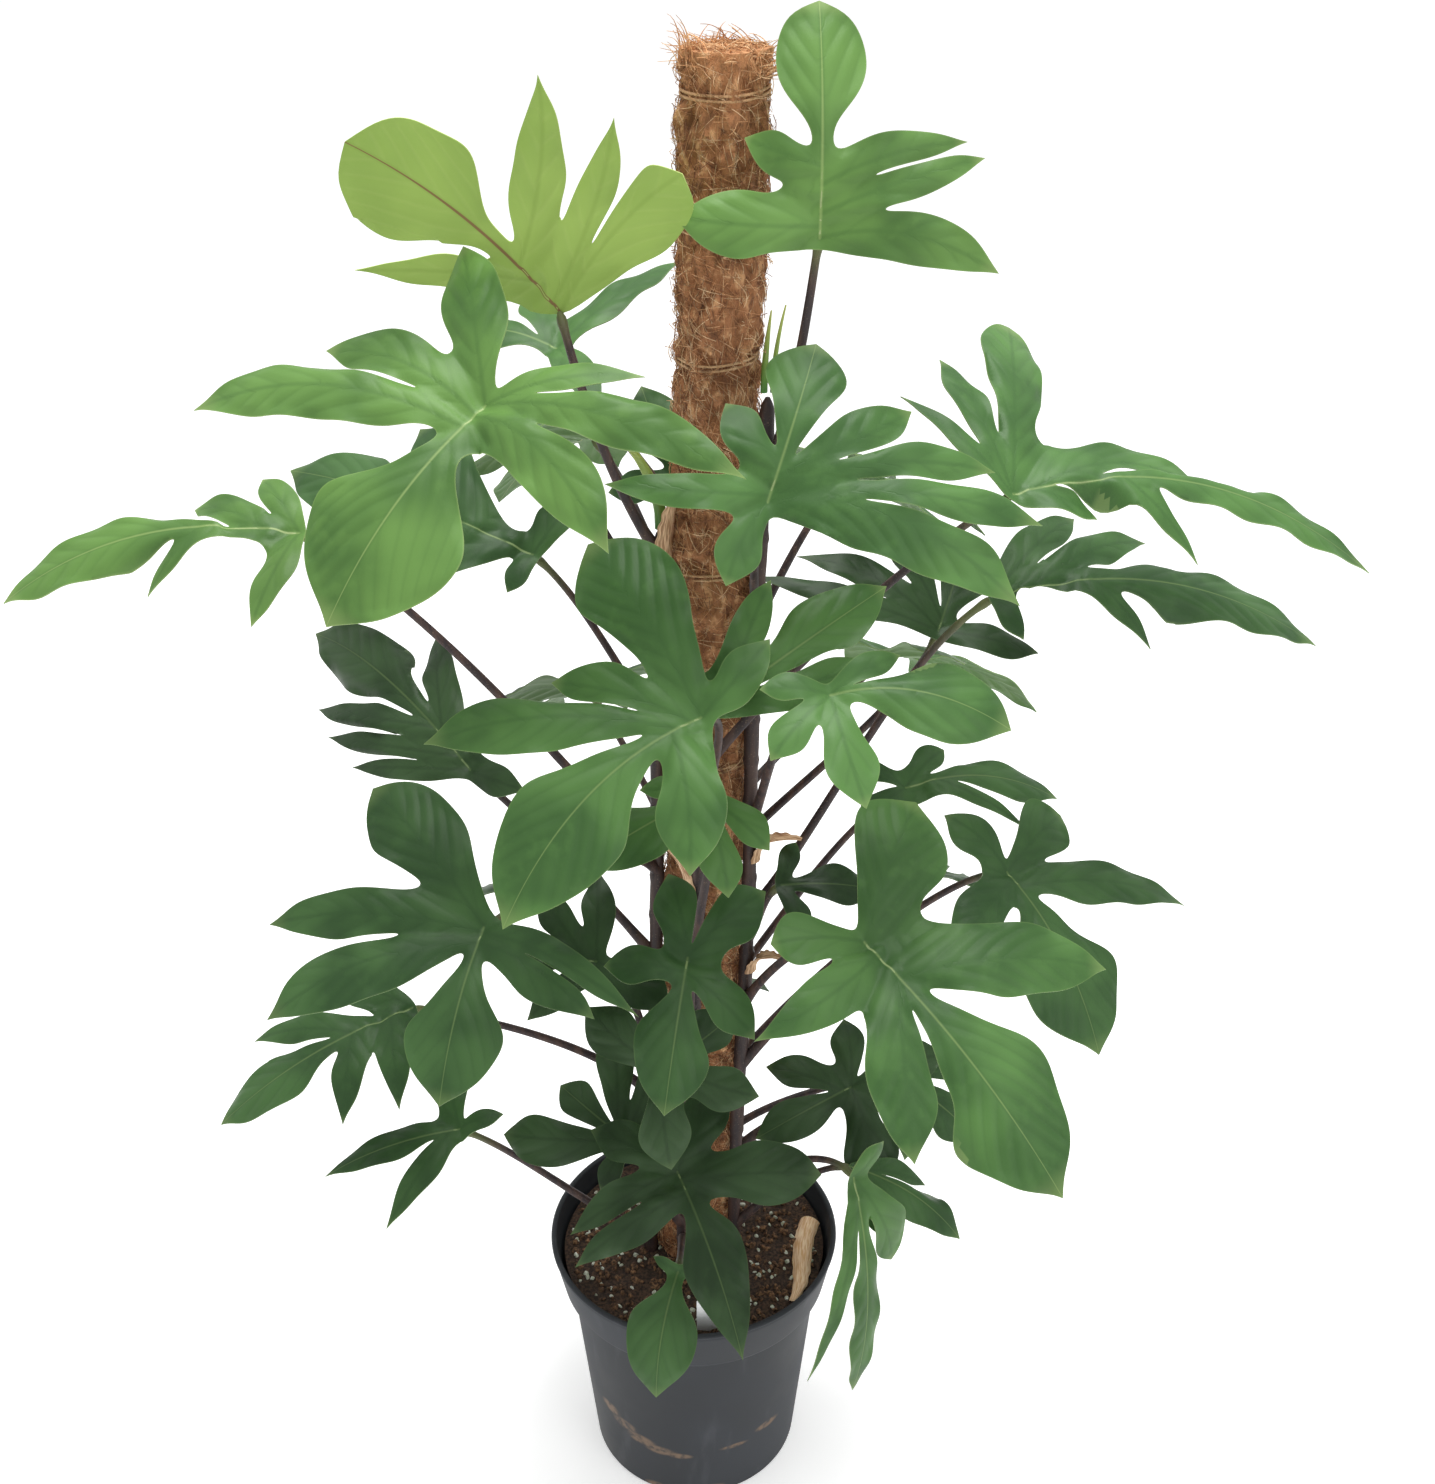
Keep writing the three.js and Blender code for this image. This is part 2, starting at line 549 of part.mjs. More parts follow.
// Stems
function stemCurve({ side, top }, foot) {
  const points = [];
  const steps = Math.ceil((top - foot) / STEM_STEP);
  for (let i = 0; i <= steps; i++) {
    const z = THREE.MathUtils.lerp(foot, top, i / steps);
    const clear = coirRadius(z) + COIR_LUMP + STEM_RADIUS + SEAT_GAP;
    const place = compass(side + 5 * Math.sin(z / 70), clear, z);
    place.x += poleShift(z);
    points.push(place);
  }
  return new THREE.CatmullRomCurve3(points);
}

function stemPoint(stem, z) {
  const curve = stemCurve(stem, STEM_FOOT);
  return curve.getPoint((z - STEM_FOOT) / (stem.top - STEM_FOOT));
}

const stemTube = (stem, foot, radius) => {
  const curve = stemCurve(stem, foot);
  return sweep(curve, Math.ceil((stem.top - foot) / STEM_STEP), () => circle(radius, 8));
};

// Blade frame: origin at the base, along the midrib, across to its left, and out of the upper side
function bladeFrame({ base, face, turn }) {
  const [heading, height] = face.map(THREE.MathUtils.degToRad);
  const normal = new THREE.Vector3(
    Math.sin(heading) * Math.cos(height),
    -Math.cos(heading) * Math.cos(height),
    Math.sin(height),
  );
  const downhill = new THREE.Vector3(0, 0, -1).addScaledVector(normal, normal.z).normalize();
  const level = normal.clone().cross(downhill);
  const angle = THREE.MathUtils.degToRad(turn);
  const along = downhill.multiplyScalar(Math.cos(angle)).addScaledVector(level, Math.sin(angle));
  return { base: new THREE.Vector3(...base), along, across: normal.clone().cross(along), normal };
}

// A rib in the blade's plane, from its root to a lobe's tip. It sets out aside from its chord by the bend.
function ribCurve(root, turn, reach, bend) {
  const lean = turn + bend;
  const control = (reach / 2) * Math.cos(bend);
  return new THREE.QuadraticBezierCurve(
    root,
    new THREE.Vector2(Math.cos(lean), Math.sin(lean)).multiplyScalar(control).add(root),
    new THREE.Vector2(Math.cos(turn), Math.sin(turn)).multiplyScalar(reach).add(root),
  );
}

function midribCurve({ tip }) {
  const [length, , , bend = 0] = tip;
  return ribCurve(new THREE.Vector2(), 0, length, THREE.MathUtils.degToRad(bend));
}

// The rest of a quadratic curve from share t onwards
function curveFrom(curve, t) {
  const root = curve.getPoint(t);
  const control = curve.v1.clone().lerp(curve.v2, t);
  return new THREE.QuadraticBezierCurve(root, control, curve.v2.clone());
}

function lobeRib(midrib, [start, angle, reach, halfWidth, shape, bend = RIB_BEND]) {
  const turn = THREE.MathUtils.degToRad(angle);
  const aside = Math.sign(angle) * THREE.MathUtils.degToRad(bend);
  const curve = ribCurve(midrib.getPoint(start), turn, reach, aside);
  const samples = [SIDE_WEB, Math.max(shape.widest, SIDE_WEB + 0.12), (1.1 + shape.widest) / 2.1];
  if (reach > LONG_LOBE) samples.push(0.92);
  return { start, angle, reach, halfWidth, curve, samples, chords: curve.getPoints(RIB_CHORDS), ...shape };
}

function endRib(midrib, start, [length, halfWidth, shape]) {
  const curve = curveFrom(midrib, start);
  const beyond = 1 - shape.widest;
  const shoulder = THREE.MathUtils.lerp(Math.max(shape.waist, END_WEB), shape.widest, 0.25);
  const samples = [END_WEB, shoulder, shape.widest, ...END_TAPER.map((k) => shape.widest + k * beyond)];
  const reach = length * (1 - start);
  return { start, angle: 0, reach, halfWidth, curve, samples, chords: curve.getPoints(RIB_CHORDS), ...shape };
}

function halfWidthAt(rib, t) {
  const { neck, waist, widest, taper, halfWidth } = rib;
  const left = THREE.MathUtils.clamp((widest - t) / (widest - waist), 0, 1);
  const shoulder = neck + (1 - neck) * Math.sqrt(1 - left ** 2);
  const fall = Math.max(0, (t - widest) / (1 - widest));
  return halfWidth * shoulder * (1 - fall ** 2) ** taper;
}

// The ribs in order round the blade, from the base down one side, over the tip and back up the other
function ribsOf({ tip, lobes }) {
  const midrib = midribCurve({ tip });
  const lastStart = Math.max(...lobes.map(([start]) => start));
  const outward = (a, b) => a.start - b.start || Math.abs(b.angle) - Math.abs(a.angle);
  const side = (sign) =>
    lobes
      .filter(([, angle]) => Math.sign(angle) === sign)
      .map((lobe) => lobeRib(midrib, lobe))
      .sort(outward);
  return [...side(-1), endRib(midrib, lastStart, tip), ...side(1).reverse()];
}

// How far a point is from a line of points, and the share along the line where it is nearest
function nearestOnLine(line, point) {
  let best = { distance: point.distanceTo(line[0]), t: 0 };
  for (let i = 0; i + 1 < line.length; i++) {
    const chord = line[i + 1].clone().sub(line[i]);
    const share = THREE.MathUtils.clamp(point.clone().sub(line[i]).dot(chord) / chord.lengthSq(), 0, 1);
    const distance = line[i].clone().addScaledVector(chord, share).distanceTo(point);
    if (distance < best.distance) best = { distance, t: (i + share) / (line.length - 1) };
  }
  return best;
}

// Height of the blade over its plane: each rib arches from base to tip, and the web droops away from the
// ribs
function bladeHeight(spec, ribs, point) {
  const [length] = spec.tip;
  const arch = spec.arch ?? BLADE_ARCH;
  const droop = spec.droop ?? BLADE_DROOP;
  const midribHeight = (share) => 4 * arch * length * share * (1 - share);
  let [total, weights, nearest] = [0, 0, Infinity];
  for (const rib of ribs) {
    const { distance, t } = nearestOnLine(rib.chords, point);
    const own =
      rib.angle === 0
        ? midribHeight(rib.start + (1 - rib.start) * t)
        : midribHeight(rib.start) * (1 - t) + 4 * arch * rib.reach * t * (1 - t);
    const weight = 1 / (distance * distance + 9) ** 2;
    total += weight * own;
    weights += weight;
    nearest = Math.min(nearest, distance);
  }
  return total / weights - droop * nearest;
}

// The notch at the stalk, in the middle of the gap that the first and last ribs leave behind the base
function baseSinus(ribs) {
  const back = THREE.MathUtils.degToRad((ribs[0].angle + 360 + ribs[ribs.length - 1].angle) / 2);
  return new THREE.Vector2(Math.cos(back), Math.sin(back)).multiplyScalar(BASE_SINUS);
}

// Fills an anticlockwise polygon of the blade's plane, given as places in its points, with the stoutest
// triangles
function filled(places, flat) {
  const found = new Map();
  const stoutness = (triangle) => {
    const corners = triangle.map((place) => flat[place]);
    const sides = corners.map((corner, i) => corner.distanceTo(corners[(i + 1) % 3]));
    return THREE.ShapeUtils.area(corners) / Math.max(...sides) ** 2;
  };
  const fill = (first, last) => {
    if (last - first < 2) return { worst: Infinity, triangles: [] };
    const key = first * places.length + last;
    if (found.has(key)) return found.get(key);
    let best = { worst: -Infinity, triangles: [] };
    for (let middle = first + 1; middle < last; middle++) {
      const [left, right] = [fill(first, middle), fill(middle, last)];
      const triangle = [places[first], places[middle], places[last]];
      const worst = Math.min(stoutness(triangle), left.worst, right.worst);
      const triangles = [...left.triangles, ...triangle, ...right.triangles];
      if (worst > best.worst) best = { worst, triangles };
    }
    found.set(key, best);
    return best;
  };
  return fill(0, places.length - 1).triangles;
}

function bladeGeometry(spec) {
  const ribs = ribsOf(spec);
  const flat = [];
  const triangles = [];
  const outline = [];
  const add = (point) => flat.push(point) - 1;

  const midribShares = [...new Set([0, ...ribs.map((rib) => rib.start)])].sort((a, b) => a - b);
  const midribLine = midribCurve(spec);
  const midrib = midribShares.map((share) => add(midribLine.getPoint(share)));
  const along = (from, to) => {
    const [i, j] = [midribShares.indexOf(from), midribShares.indexOf(to)];
    return i <= j ? midrib.slice(i, j + 1) : midrib.slice(j, i + 1).reverse();
  };

  const edgePoint = (rib, neighbour, t, sign) => {
    const point = rib.curve.getPoint(t);
    const between = along(rib.start, neighbour.start).map((place) => flat[place]);
    const beside = nearestOnLine(neighbour.chords, point);
    const free = rib.angle ? 0 : beside.distance - halfWidthAt(neighbour, beside.t) - LOBE_GAP;
    const room = Math.max(NEIGHBOUR_SHARE * beside.distance, free);
    const clear = MIDRIB_SHARE * nearestOnLine(between, point).distance;
    const width = Math.min(halfWidthAt(rib, t), room, clear);
    const direction = rib.curve.getTangent(t);
    return new THREE.Vector2(-direction.y, direction.x).multiplyScalar(sign * width).add(point);
  };

  ribs.forEach((rib, i) => {
    const before = ribs[(i + ribs.length - 1) % ribs.length];
    const after = ribs[(i + 1) % ribs.length];
    rib.spine = rib.samples.map((t) => add(rib.curve.getPoint(t)));
    rib.right = rib.samples.map((t) => add(edgePoint(rib, before, t, -1)));
    rib.left = rib.samples.map((t) => add(edgePoint(rib, after, t, 1)));
    rib.point = add(rib.curve.getPoint(1));
  });

  for (const { spine, right, left, point } of ribs) {
    const last = spine.length - 1;
    for (let k = 0; k < last; k++) {
      triangles.push(right[k], right[k + 1], spine[k + 1], right[k], spine[k + 1], spine[k]);
      triangles.push(left[k + 1], left[k], spine[k], left[k + 1], spine[k], spine[k + 1]);
    }
    triangles.push(right[last], point, spine[last], point, left[last], spine[last]);
  }

  ribs.forEach((rib, i) => {
    const next = ribs[(i + 1) % ribs.length];
    const wraps = i === ribs.length - 1;
    const path = wraps
      ? [...along(next.start, 0), ...along(0, rib.start).slice(1)]
      : along(next.start, rib.start);
    const [a, b] = [flat[rib.left[0]], flat[next.right[0]]];
    const inner = flat[rib.spine[0]].clone().add(flat[next.spine[0]]).multiplyScalar(0.5);
    const notch = a.clone().add(b).multiplyScalar(0.5);
    notch.lerp(inner, Math.min(0.5, SINUS_NOTCH / notch.distanceTo(inner)));
    const sinus = add(wraps ? baseSinus(ribs) : notch);
    const web = [sinus, next.right[0], next.spine[0], ...path, rib.spine[0], rib.left[0]];
    triangles.push(...filled(web, flat));
    outline.push(...rib.right, rib.point, ...[...rib.left].reverse(), sinus);
  });

  const frame = bladeFrame(spec);
  const place = (p, lift) =>
    frame.base
      .clone()
      .addScaledVector(frame.along, p.x)
      .addScaledVector(frame.across, p.y)
      .addScaledVector(frame.normal, bladeHeight(spec, ribs, p) + lift);
  const count = flat.length;
  const points = [
    ...flat.map((p) => place(p, BLADE_THICKNESS / 2)),
    ...flat.map((p) => place(p, -BLADE_THICKNESS / 2)),
  ];
  const faces = [...triangles];
  for (let k = 0; k < triangles.length; k += 3) {
    faces.push(triangles[k] + count, triangles[k + 2] + count, triangles[k + 1] + count);
  }
  outline.forEach((a, k) => {
    const b = outline[(k + 1) % outline.length];
    faces.push(a, a + count, b + count, a, b + count, b);
  });
  return triangleMesh(points, faces);
}

// A leaf stalk leaves its stem upwards and bends over to reach the blade from below
function stalkGeometry(spec) {
  const [stemName, leaves, lift = STALK_LIFT] = spec.stalk;
  const { base, along, normal } = bladeFrame(spec);
  const root = stemPoint(STEMS[stemName], leaves);
  const reach = base.distanceTo(root);
  const arrival = along.clone().multiplyScalar(0.5).addScaledVector(normal, 0.87);
  const baseHeight = bladeHeight(spec, ribsOf(spec), new THREE.Vector2());
  const below = BLADE_THICKNESS / 2 + SEAT_GAP + STALK_TIP_RADIUS / 2;
  const end = base.clone().addScaledVector(normal, baseHeight - below);
  const outward = base.clone().sub(root).setZ(0).normalize();
  const rise = outward.multiplyScalar(STALK_SPREAD).add(new THREE.Vector3(0, 0, lift));
  const curve = new THREE.CubicBezierCurve3(
    root,
    root.clone().addScaledVector(rise, reach * 0.35),
    end.clone().addScaledVector(arrival, -reach * 0.25),
    end,
  );
  return sweep(curve, STALK_STEPS, (t) =>
    circle(THREE.MathUtils.lerp(STALK_ROOT_RADIUS, STALK_TIP_RADIUS, t ** 0.5), STALK_SIDES),
  );
}

// A dry strip, curled across. The path runs along the middle of its outer face.
function stripGeometry(path, outward, width, spans) {
  const rings = [];
  for (let step = 0; step <= STRIP_STEPS; step++) {
    const t = step / STRIP_STEPS;
    const along = path.getTangentAt(t);
    const up = outward.clone().addScaledVector(along, -outward.dot(along)).normalize();
    const across = up.clone().cross(along);
    const span = THREE.MathUtils.degToRad(THREE.MathUtils.lerp(...spans, t));
    const radius = (width * (1 - 0.7 * t ** 3)) / 2 / Math.sin(span);
    const pointAt = (share, depth) => {
      const angle = THREE.MathUtils.lerp(span, -span, share);
      const from = radius - depth;
      return path
        .getPointAt(t)
        .addScaledVector(across, Math.sin(angle) * from)
        .addScaledVector(up, Math.cos(angle) * from - radius);
    };
    const shares = Array.from({ length: STRIP_FACETS + 1 }, (_, i) => i / STRIP_FACETS);
    const outer = shares.map((share) => pointAt(share, 0));
    const inner = shares.map((share) => pointAt(share, STRIP_THICKNESS)).reverse();
    rings.push([...outer, ...inner]);
  }
  return loft(rings, stripCap);
}

function sheathGeometry({ stem, foot, side, tip, width }) {
  const [out, up] = tip;
  const outward = compass(side, 1, 0);
  const span = SHEATH_SPANS[0];
  const radius = width / 2 / Math.sin(THREE.MathUtils.degToRad(span));
  const start = stemPoint(STEMS[stem], foot).addScaledVector(outward, radius);
  const path = new THREE.QuadraticBezierCurve3(
    start,
    start.clone().add(new THREE.Vector3(0, 0, 0.6 * Math.hypot(out, up))),
    start.clone().addScaledVector(outward, out).add(new THREE.Vector3(0, 0, up)),
  );
  return stripGeometry(path, outward, width, SHEATH_SPANS);
}

function fallenSheathGeometry() {
  const level = SOIL_LEVEL + FALLEN_LIFT;
  const corners = FALLEN_SHEATH.path.map(([x, y]) => new THREE.Vector3(x, y, level));
  const path = new THREE.CatmullRomCurve3(corners);
  return stripGeometry(path, new THREE.Vector3(0, 0, 1), FALLEN_SHEATH.width, FALLEN_SPANS);
}

function spearGeometry({ stem, aside, tip, radius }) {
  const foot = stemPoint(STEMS[stem], STEMS[stem].top).add(new THREE.Vector3(aside, 0, SEAT_GAP));
  const end = new THREE.Vector3(...tip);
  const control = foot.clone().setZ(THREE.MathUtils.lerp(foot.z, end.z, 0.5));
  const curve = new THREE.QuadraticBezierCurve3(foot, control, end);
  return sweep(curve, 5, (t) => circle(THREE.MathUtils.lerp(radius, SPEAR_TIP_RADIUS, t ** 2), STALK_SIDES));
}

function labelGeometry(extra) {
  const [x, y, z] = LABEL_TOP;
  const size = [LABEL_WIDTH, LABEL_THICKNESS, LABEL_LENGTH].map((side) => side + 2 * extra);
  return new THREE.BoxGeometry(...size)
    .translate(0, 0, -LABEL_LENGTH / 2)
    .rotateX(THREE.MathUtils.degToRad(LABEL_LEAN))
    .translate(x, y, z);
}

const plant = new THREE.Group();
plant.name = "potted_philodendron";

function addPiece(name, geometry, material) {
  const mesh = new THREE.Mesh(geometry, material);
  mesh.name = name;
  plant.add(mesh);
}

addPiece("pot", potGeometry(), pot);
const stemHoles = Object.values(STEMS).map((stem) =>
  stemTube({ ...stem, top: POT_HEIGHT + STEM_STEP }, STEM_FOOT - SEAT_GAP, STEM_RADIUS + 3 * SEAT_GAP),
);
const soilHoles = [poleHole(), stakeGeometry(SEAT_GAP), labelGeometry(SEAT_GAP), ...stemHoles];
addPiece("soil", soilGeometry(soilHoles), soil);
addPiece("label", labelGeometry(0), white);
addPiece("pole_stake", stakeGeometry(0), wood);
addPiece("pole_coir", coirGeometry(), coir);

for (const [name, stem] of Object.entries(STEMS)) {
  const stalks = Object.values(BLADES)
    .filter((spec) => spec.stalk[0] === name)
    .map(stalkGeometry);
  addPiece(name, fuse([stemTube(stem, STEM_FOOT, STEM_RADIUS), ...stalks]), stalkBark);
}

for (const [name, spec] of Object.entries(BLADES)) {
  addPiece("blade_" + name, bladeGeometry(spec), name.startsWith("lime") ? youngGreen : leafGreen);
}
for (const [name, spec] of Object.entries(SPEARS)) addPiece(name, spearGeometry(spec), youngGreen);
for (const [name, spec] of Object.entries(SHEATHS)) addPiece(name, sheathGeometry(spec), drySheath);
addPiece("sheath_fallen", fallenSheathGeometry(), drySheath);

export default plant;
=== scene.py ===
"""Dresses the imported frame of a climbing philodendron: leaf blades, stems, coir pole, pot and soil.

Sizes are in millimetres and angles in degrees, as on the plant. A mesh is made from them in metres.
"""

import logging
import math
from collections.abc import Sequence
from dataclasses import dataclass, field
from enum import Enum

import bpy
import numpy as np
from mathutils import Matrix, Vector, noise
from mathutils.geometry import delaunay_2d_cdt


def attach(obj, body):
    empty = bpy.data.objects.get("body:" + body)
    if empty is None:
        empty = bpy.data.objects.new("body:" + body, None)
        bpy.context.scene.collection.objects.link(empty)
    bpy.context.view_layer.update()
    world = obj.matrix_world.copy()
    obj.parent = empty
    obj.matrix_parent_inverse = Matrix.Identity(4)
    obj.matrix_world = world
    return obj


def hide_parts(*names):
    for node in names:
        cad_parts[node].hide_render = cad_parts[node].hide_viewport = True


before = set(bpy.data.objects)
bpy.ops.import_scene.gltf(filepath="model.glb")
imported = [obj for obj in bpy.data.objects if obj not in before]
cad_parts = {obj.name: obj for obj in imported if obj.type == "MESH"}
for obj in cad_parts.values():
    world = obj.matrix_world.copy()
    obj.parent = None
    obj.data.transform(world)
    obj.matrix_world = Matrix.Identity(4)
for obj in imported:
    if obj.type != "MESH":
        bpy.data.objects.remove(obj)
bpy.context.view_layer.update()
log = logging.getLogger("plant")

MM = 0.001
Array = np.ndarray
Triple = tuple[float, float, float]

POT_HEIGHT = 230
SOIL_LEVEL = 212
POLE_LEAN = 0.026
POLE_TOP = 1172
COIR_FOOT = 120
COIR_RADII = (30, 26.5)
COIR_LUMP = 1.8
COIR_WAVES = ((3, 31), (5, -17), (2, 57))
TWINE_LEVELS = (1146, 985, 840, 690, 540, 390)
TWINE_BITE = 1.4
TWINE_SPREAD = 14
STEM_RADIUS = 6
STEM_SWAY = 5
STEM_SWAY_RISE = 70
SEAT_GAP = 0.3
GOLDEN_ANGLE = 2.399
ASIDE = (0.31, 0.87, 0.38)
FULL_SPIN = 6.28


@dataclass(frozen=True)
class LobeShape:
    """A lobe's outline: its neck, waist and widest place, its taper and where its tip is drawn out."""

    neck: float
    waist: float
    widest: float
    taper: float
    drip: float


class Shape(Enum):
    """The lobe shapes that the blades are made of."""

    LANCE = LobeShape(1, 0.1, 0.3, 1.05, 0.8)
    STRAP = LobeShape(0.85, 0.15, 0.5, 0.8, 0.78)
    OVATE = LobeShape(0.4, 0.12, 0.46, 0.72, 0.8)
    PADDLE = LobeShape(0.45, 0.18, 0.58, 0.56, 0.84)
    SPOON = LobeShape(0.22, 0.28, 0.64, 0.44, 0.97)


LANCE, STRAP, OVATE, PADDLE, SPOON = Shape


class Tone(Enum):
    """How old a leaf is, with painted light and shade: darker tones for shaded leaves, lighter for lit
    ones.
    """

    LIME = "lime"
    FRESH = "fresh"
    MID = "mid"
    DEEP = "deep"
    DARK = "dark"


LIME, FRESH, MID, DEEP, DARK = Tone


@dataclass(frozen=True)
class Tip:
    """The midrib's length, its end lobe's half width and shape, and how much the midrib bends."""

    length: float
    half_width: float
    shape: Shape
    bend: float = 0


@dataclass(frozen=True)
class Lobe:
    """A side lobe: where its rib leaves the midrib, its angle, reach, half width, shape and bend."""

    start: float
    angle: float
    reach: float
    half_width: float
    shape: Shape
    bend: float = 8


@dataclass(frozen=True)
class Stalk:
    """The stem that a leaf stalk grows from, the height where it leaves it, and how steeply it sets out."""

    stem: str
    level: float
    lift: float = 0.84


@dataclass(frozen=True)
class BladeSpec:
    """One leaf: its blade's base, facing and turn, its lobes, its stalk and its tone."""

    base: Triple
    face: tuple[float, float]
    turn: float
    tip: Tip
    lobes: tuple[Lobe, ...]
    stalk: Stalk
    tone: Tone


@dataclass(frozen=True)
class StemSpec:
    """A climbing stem: the side of the pole it keeps to, as a compass angle from the front, and its top."""

    side: float
    top: float


@dataclass(frozen=True)
class SpearSpec:
    """A rolled new leaf on a stem's top: how far aside its foot stands, its tip and its foot's radius."""

    stem: str
    aside: float
    tip: Triple
    radius: float


@dataclass(frozen=True)
class SheathSpec:
    """A dry sheath on a stem: its foot's height and side, how far its tip is out and up, and its width."""

    stem: str
    foot: float
    side: float
    tip: tuple[float, float]
    width: float


STEMS = {
    "stem_left": StemSpec(-75, 870),
    "stem_front": StemSpec(-12, 770),
    "stem_right": StemSpec(62, 965),
    "stem_back": StemSpec(170, 900),
}
SPEARS = {
    "spear_left": SpearSpec("stem_left", 0, (-47, -32, 948), 4.4),
    "spear_right": SpearSpec("stem_right", -2.6, (54, 6, 1012), 2.4),
    "spear_right_thin": SpearSpec("stem_right", 3, (63, 4, 1016), 1.8),
}
SHEATHS = {
    "sheath_front_top": SheathSpec("stem_front", 728, -30, (10, 76), 14.6),
    "sheath_front_mid": SheathSpec("stem_front", 588, -62, (26, 64), 14.4),
    "sheath_front_low": SheathSpec("stem_front", 408, 58, (16, 78), 15.4),
    "sheath_left_top": SheathSpec("stem_left", 828, 32, (14, 72), 14.6),
    "sheath_right_mid": SheathSpec("stem_right", 612, 72, (31, 24), 14.4),
    "sheath_right_low": SheathSpec("stem_right", 512, 60, (24, 20), 14.6),
}
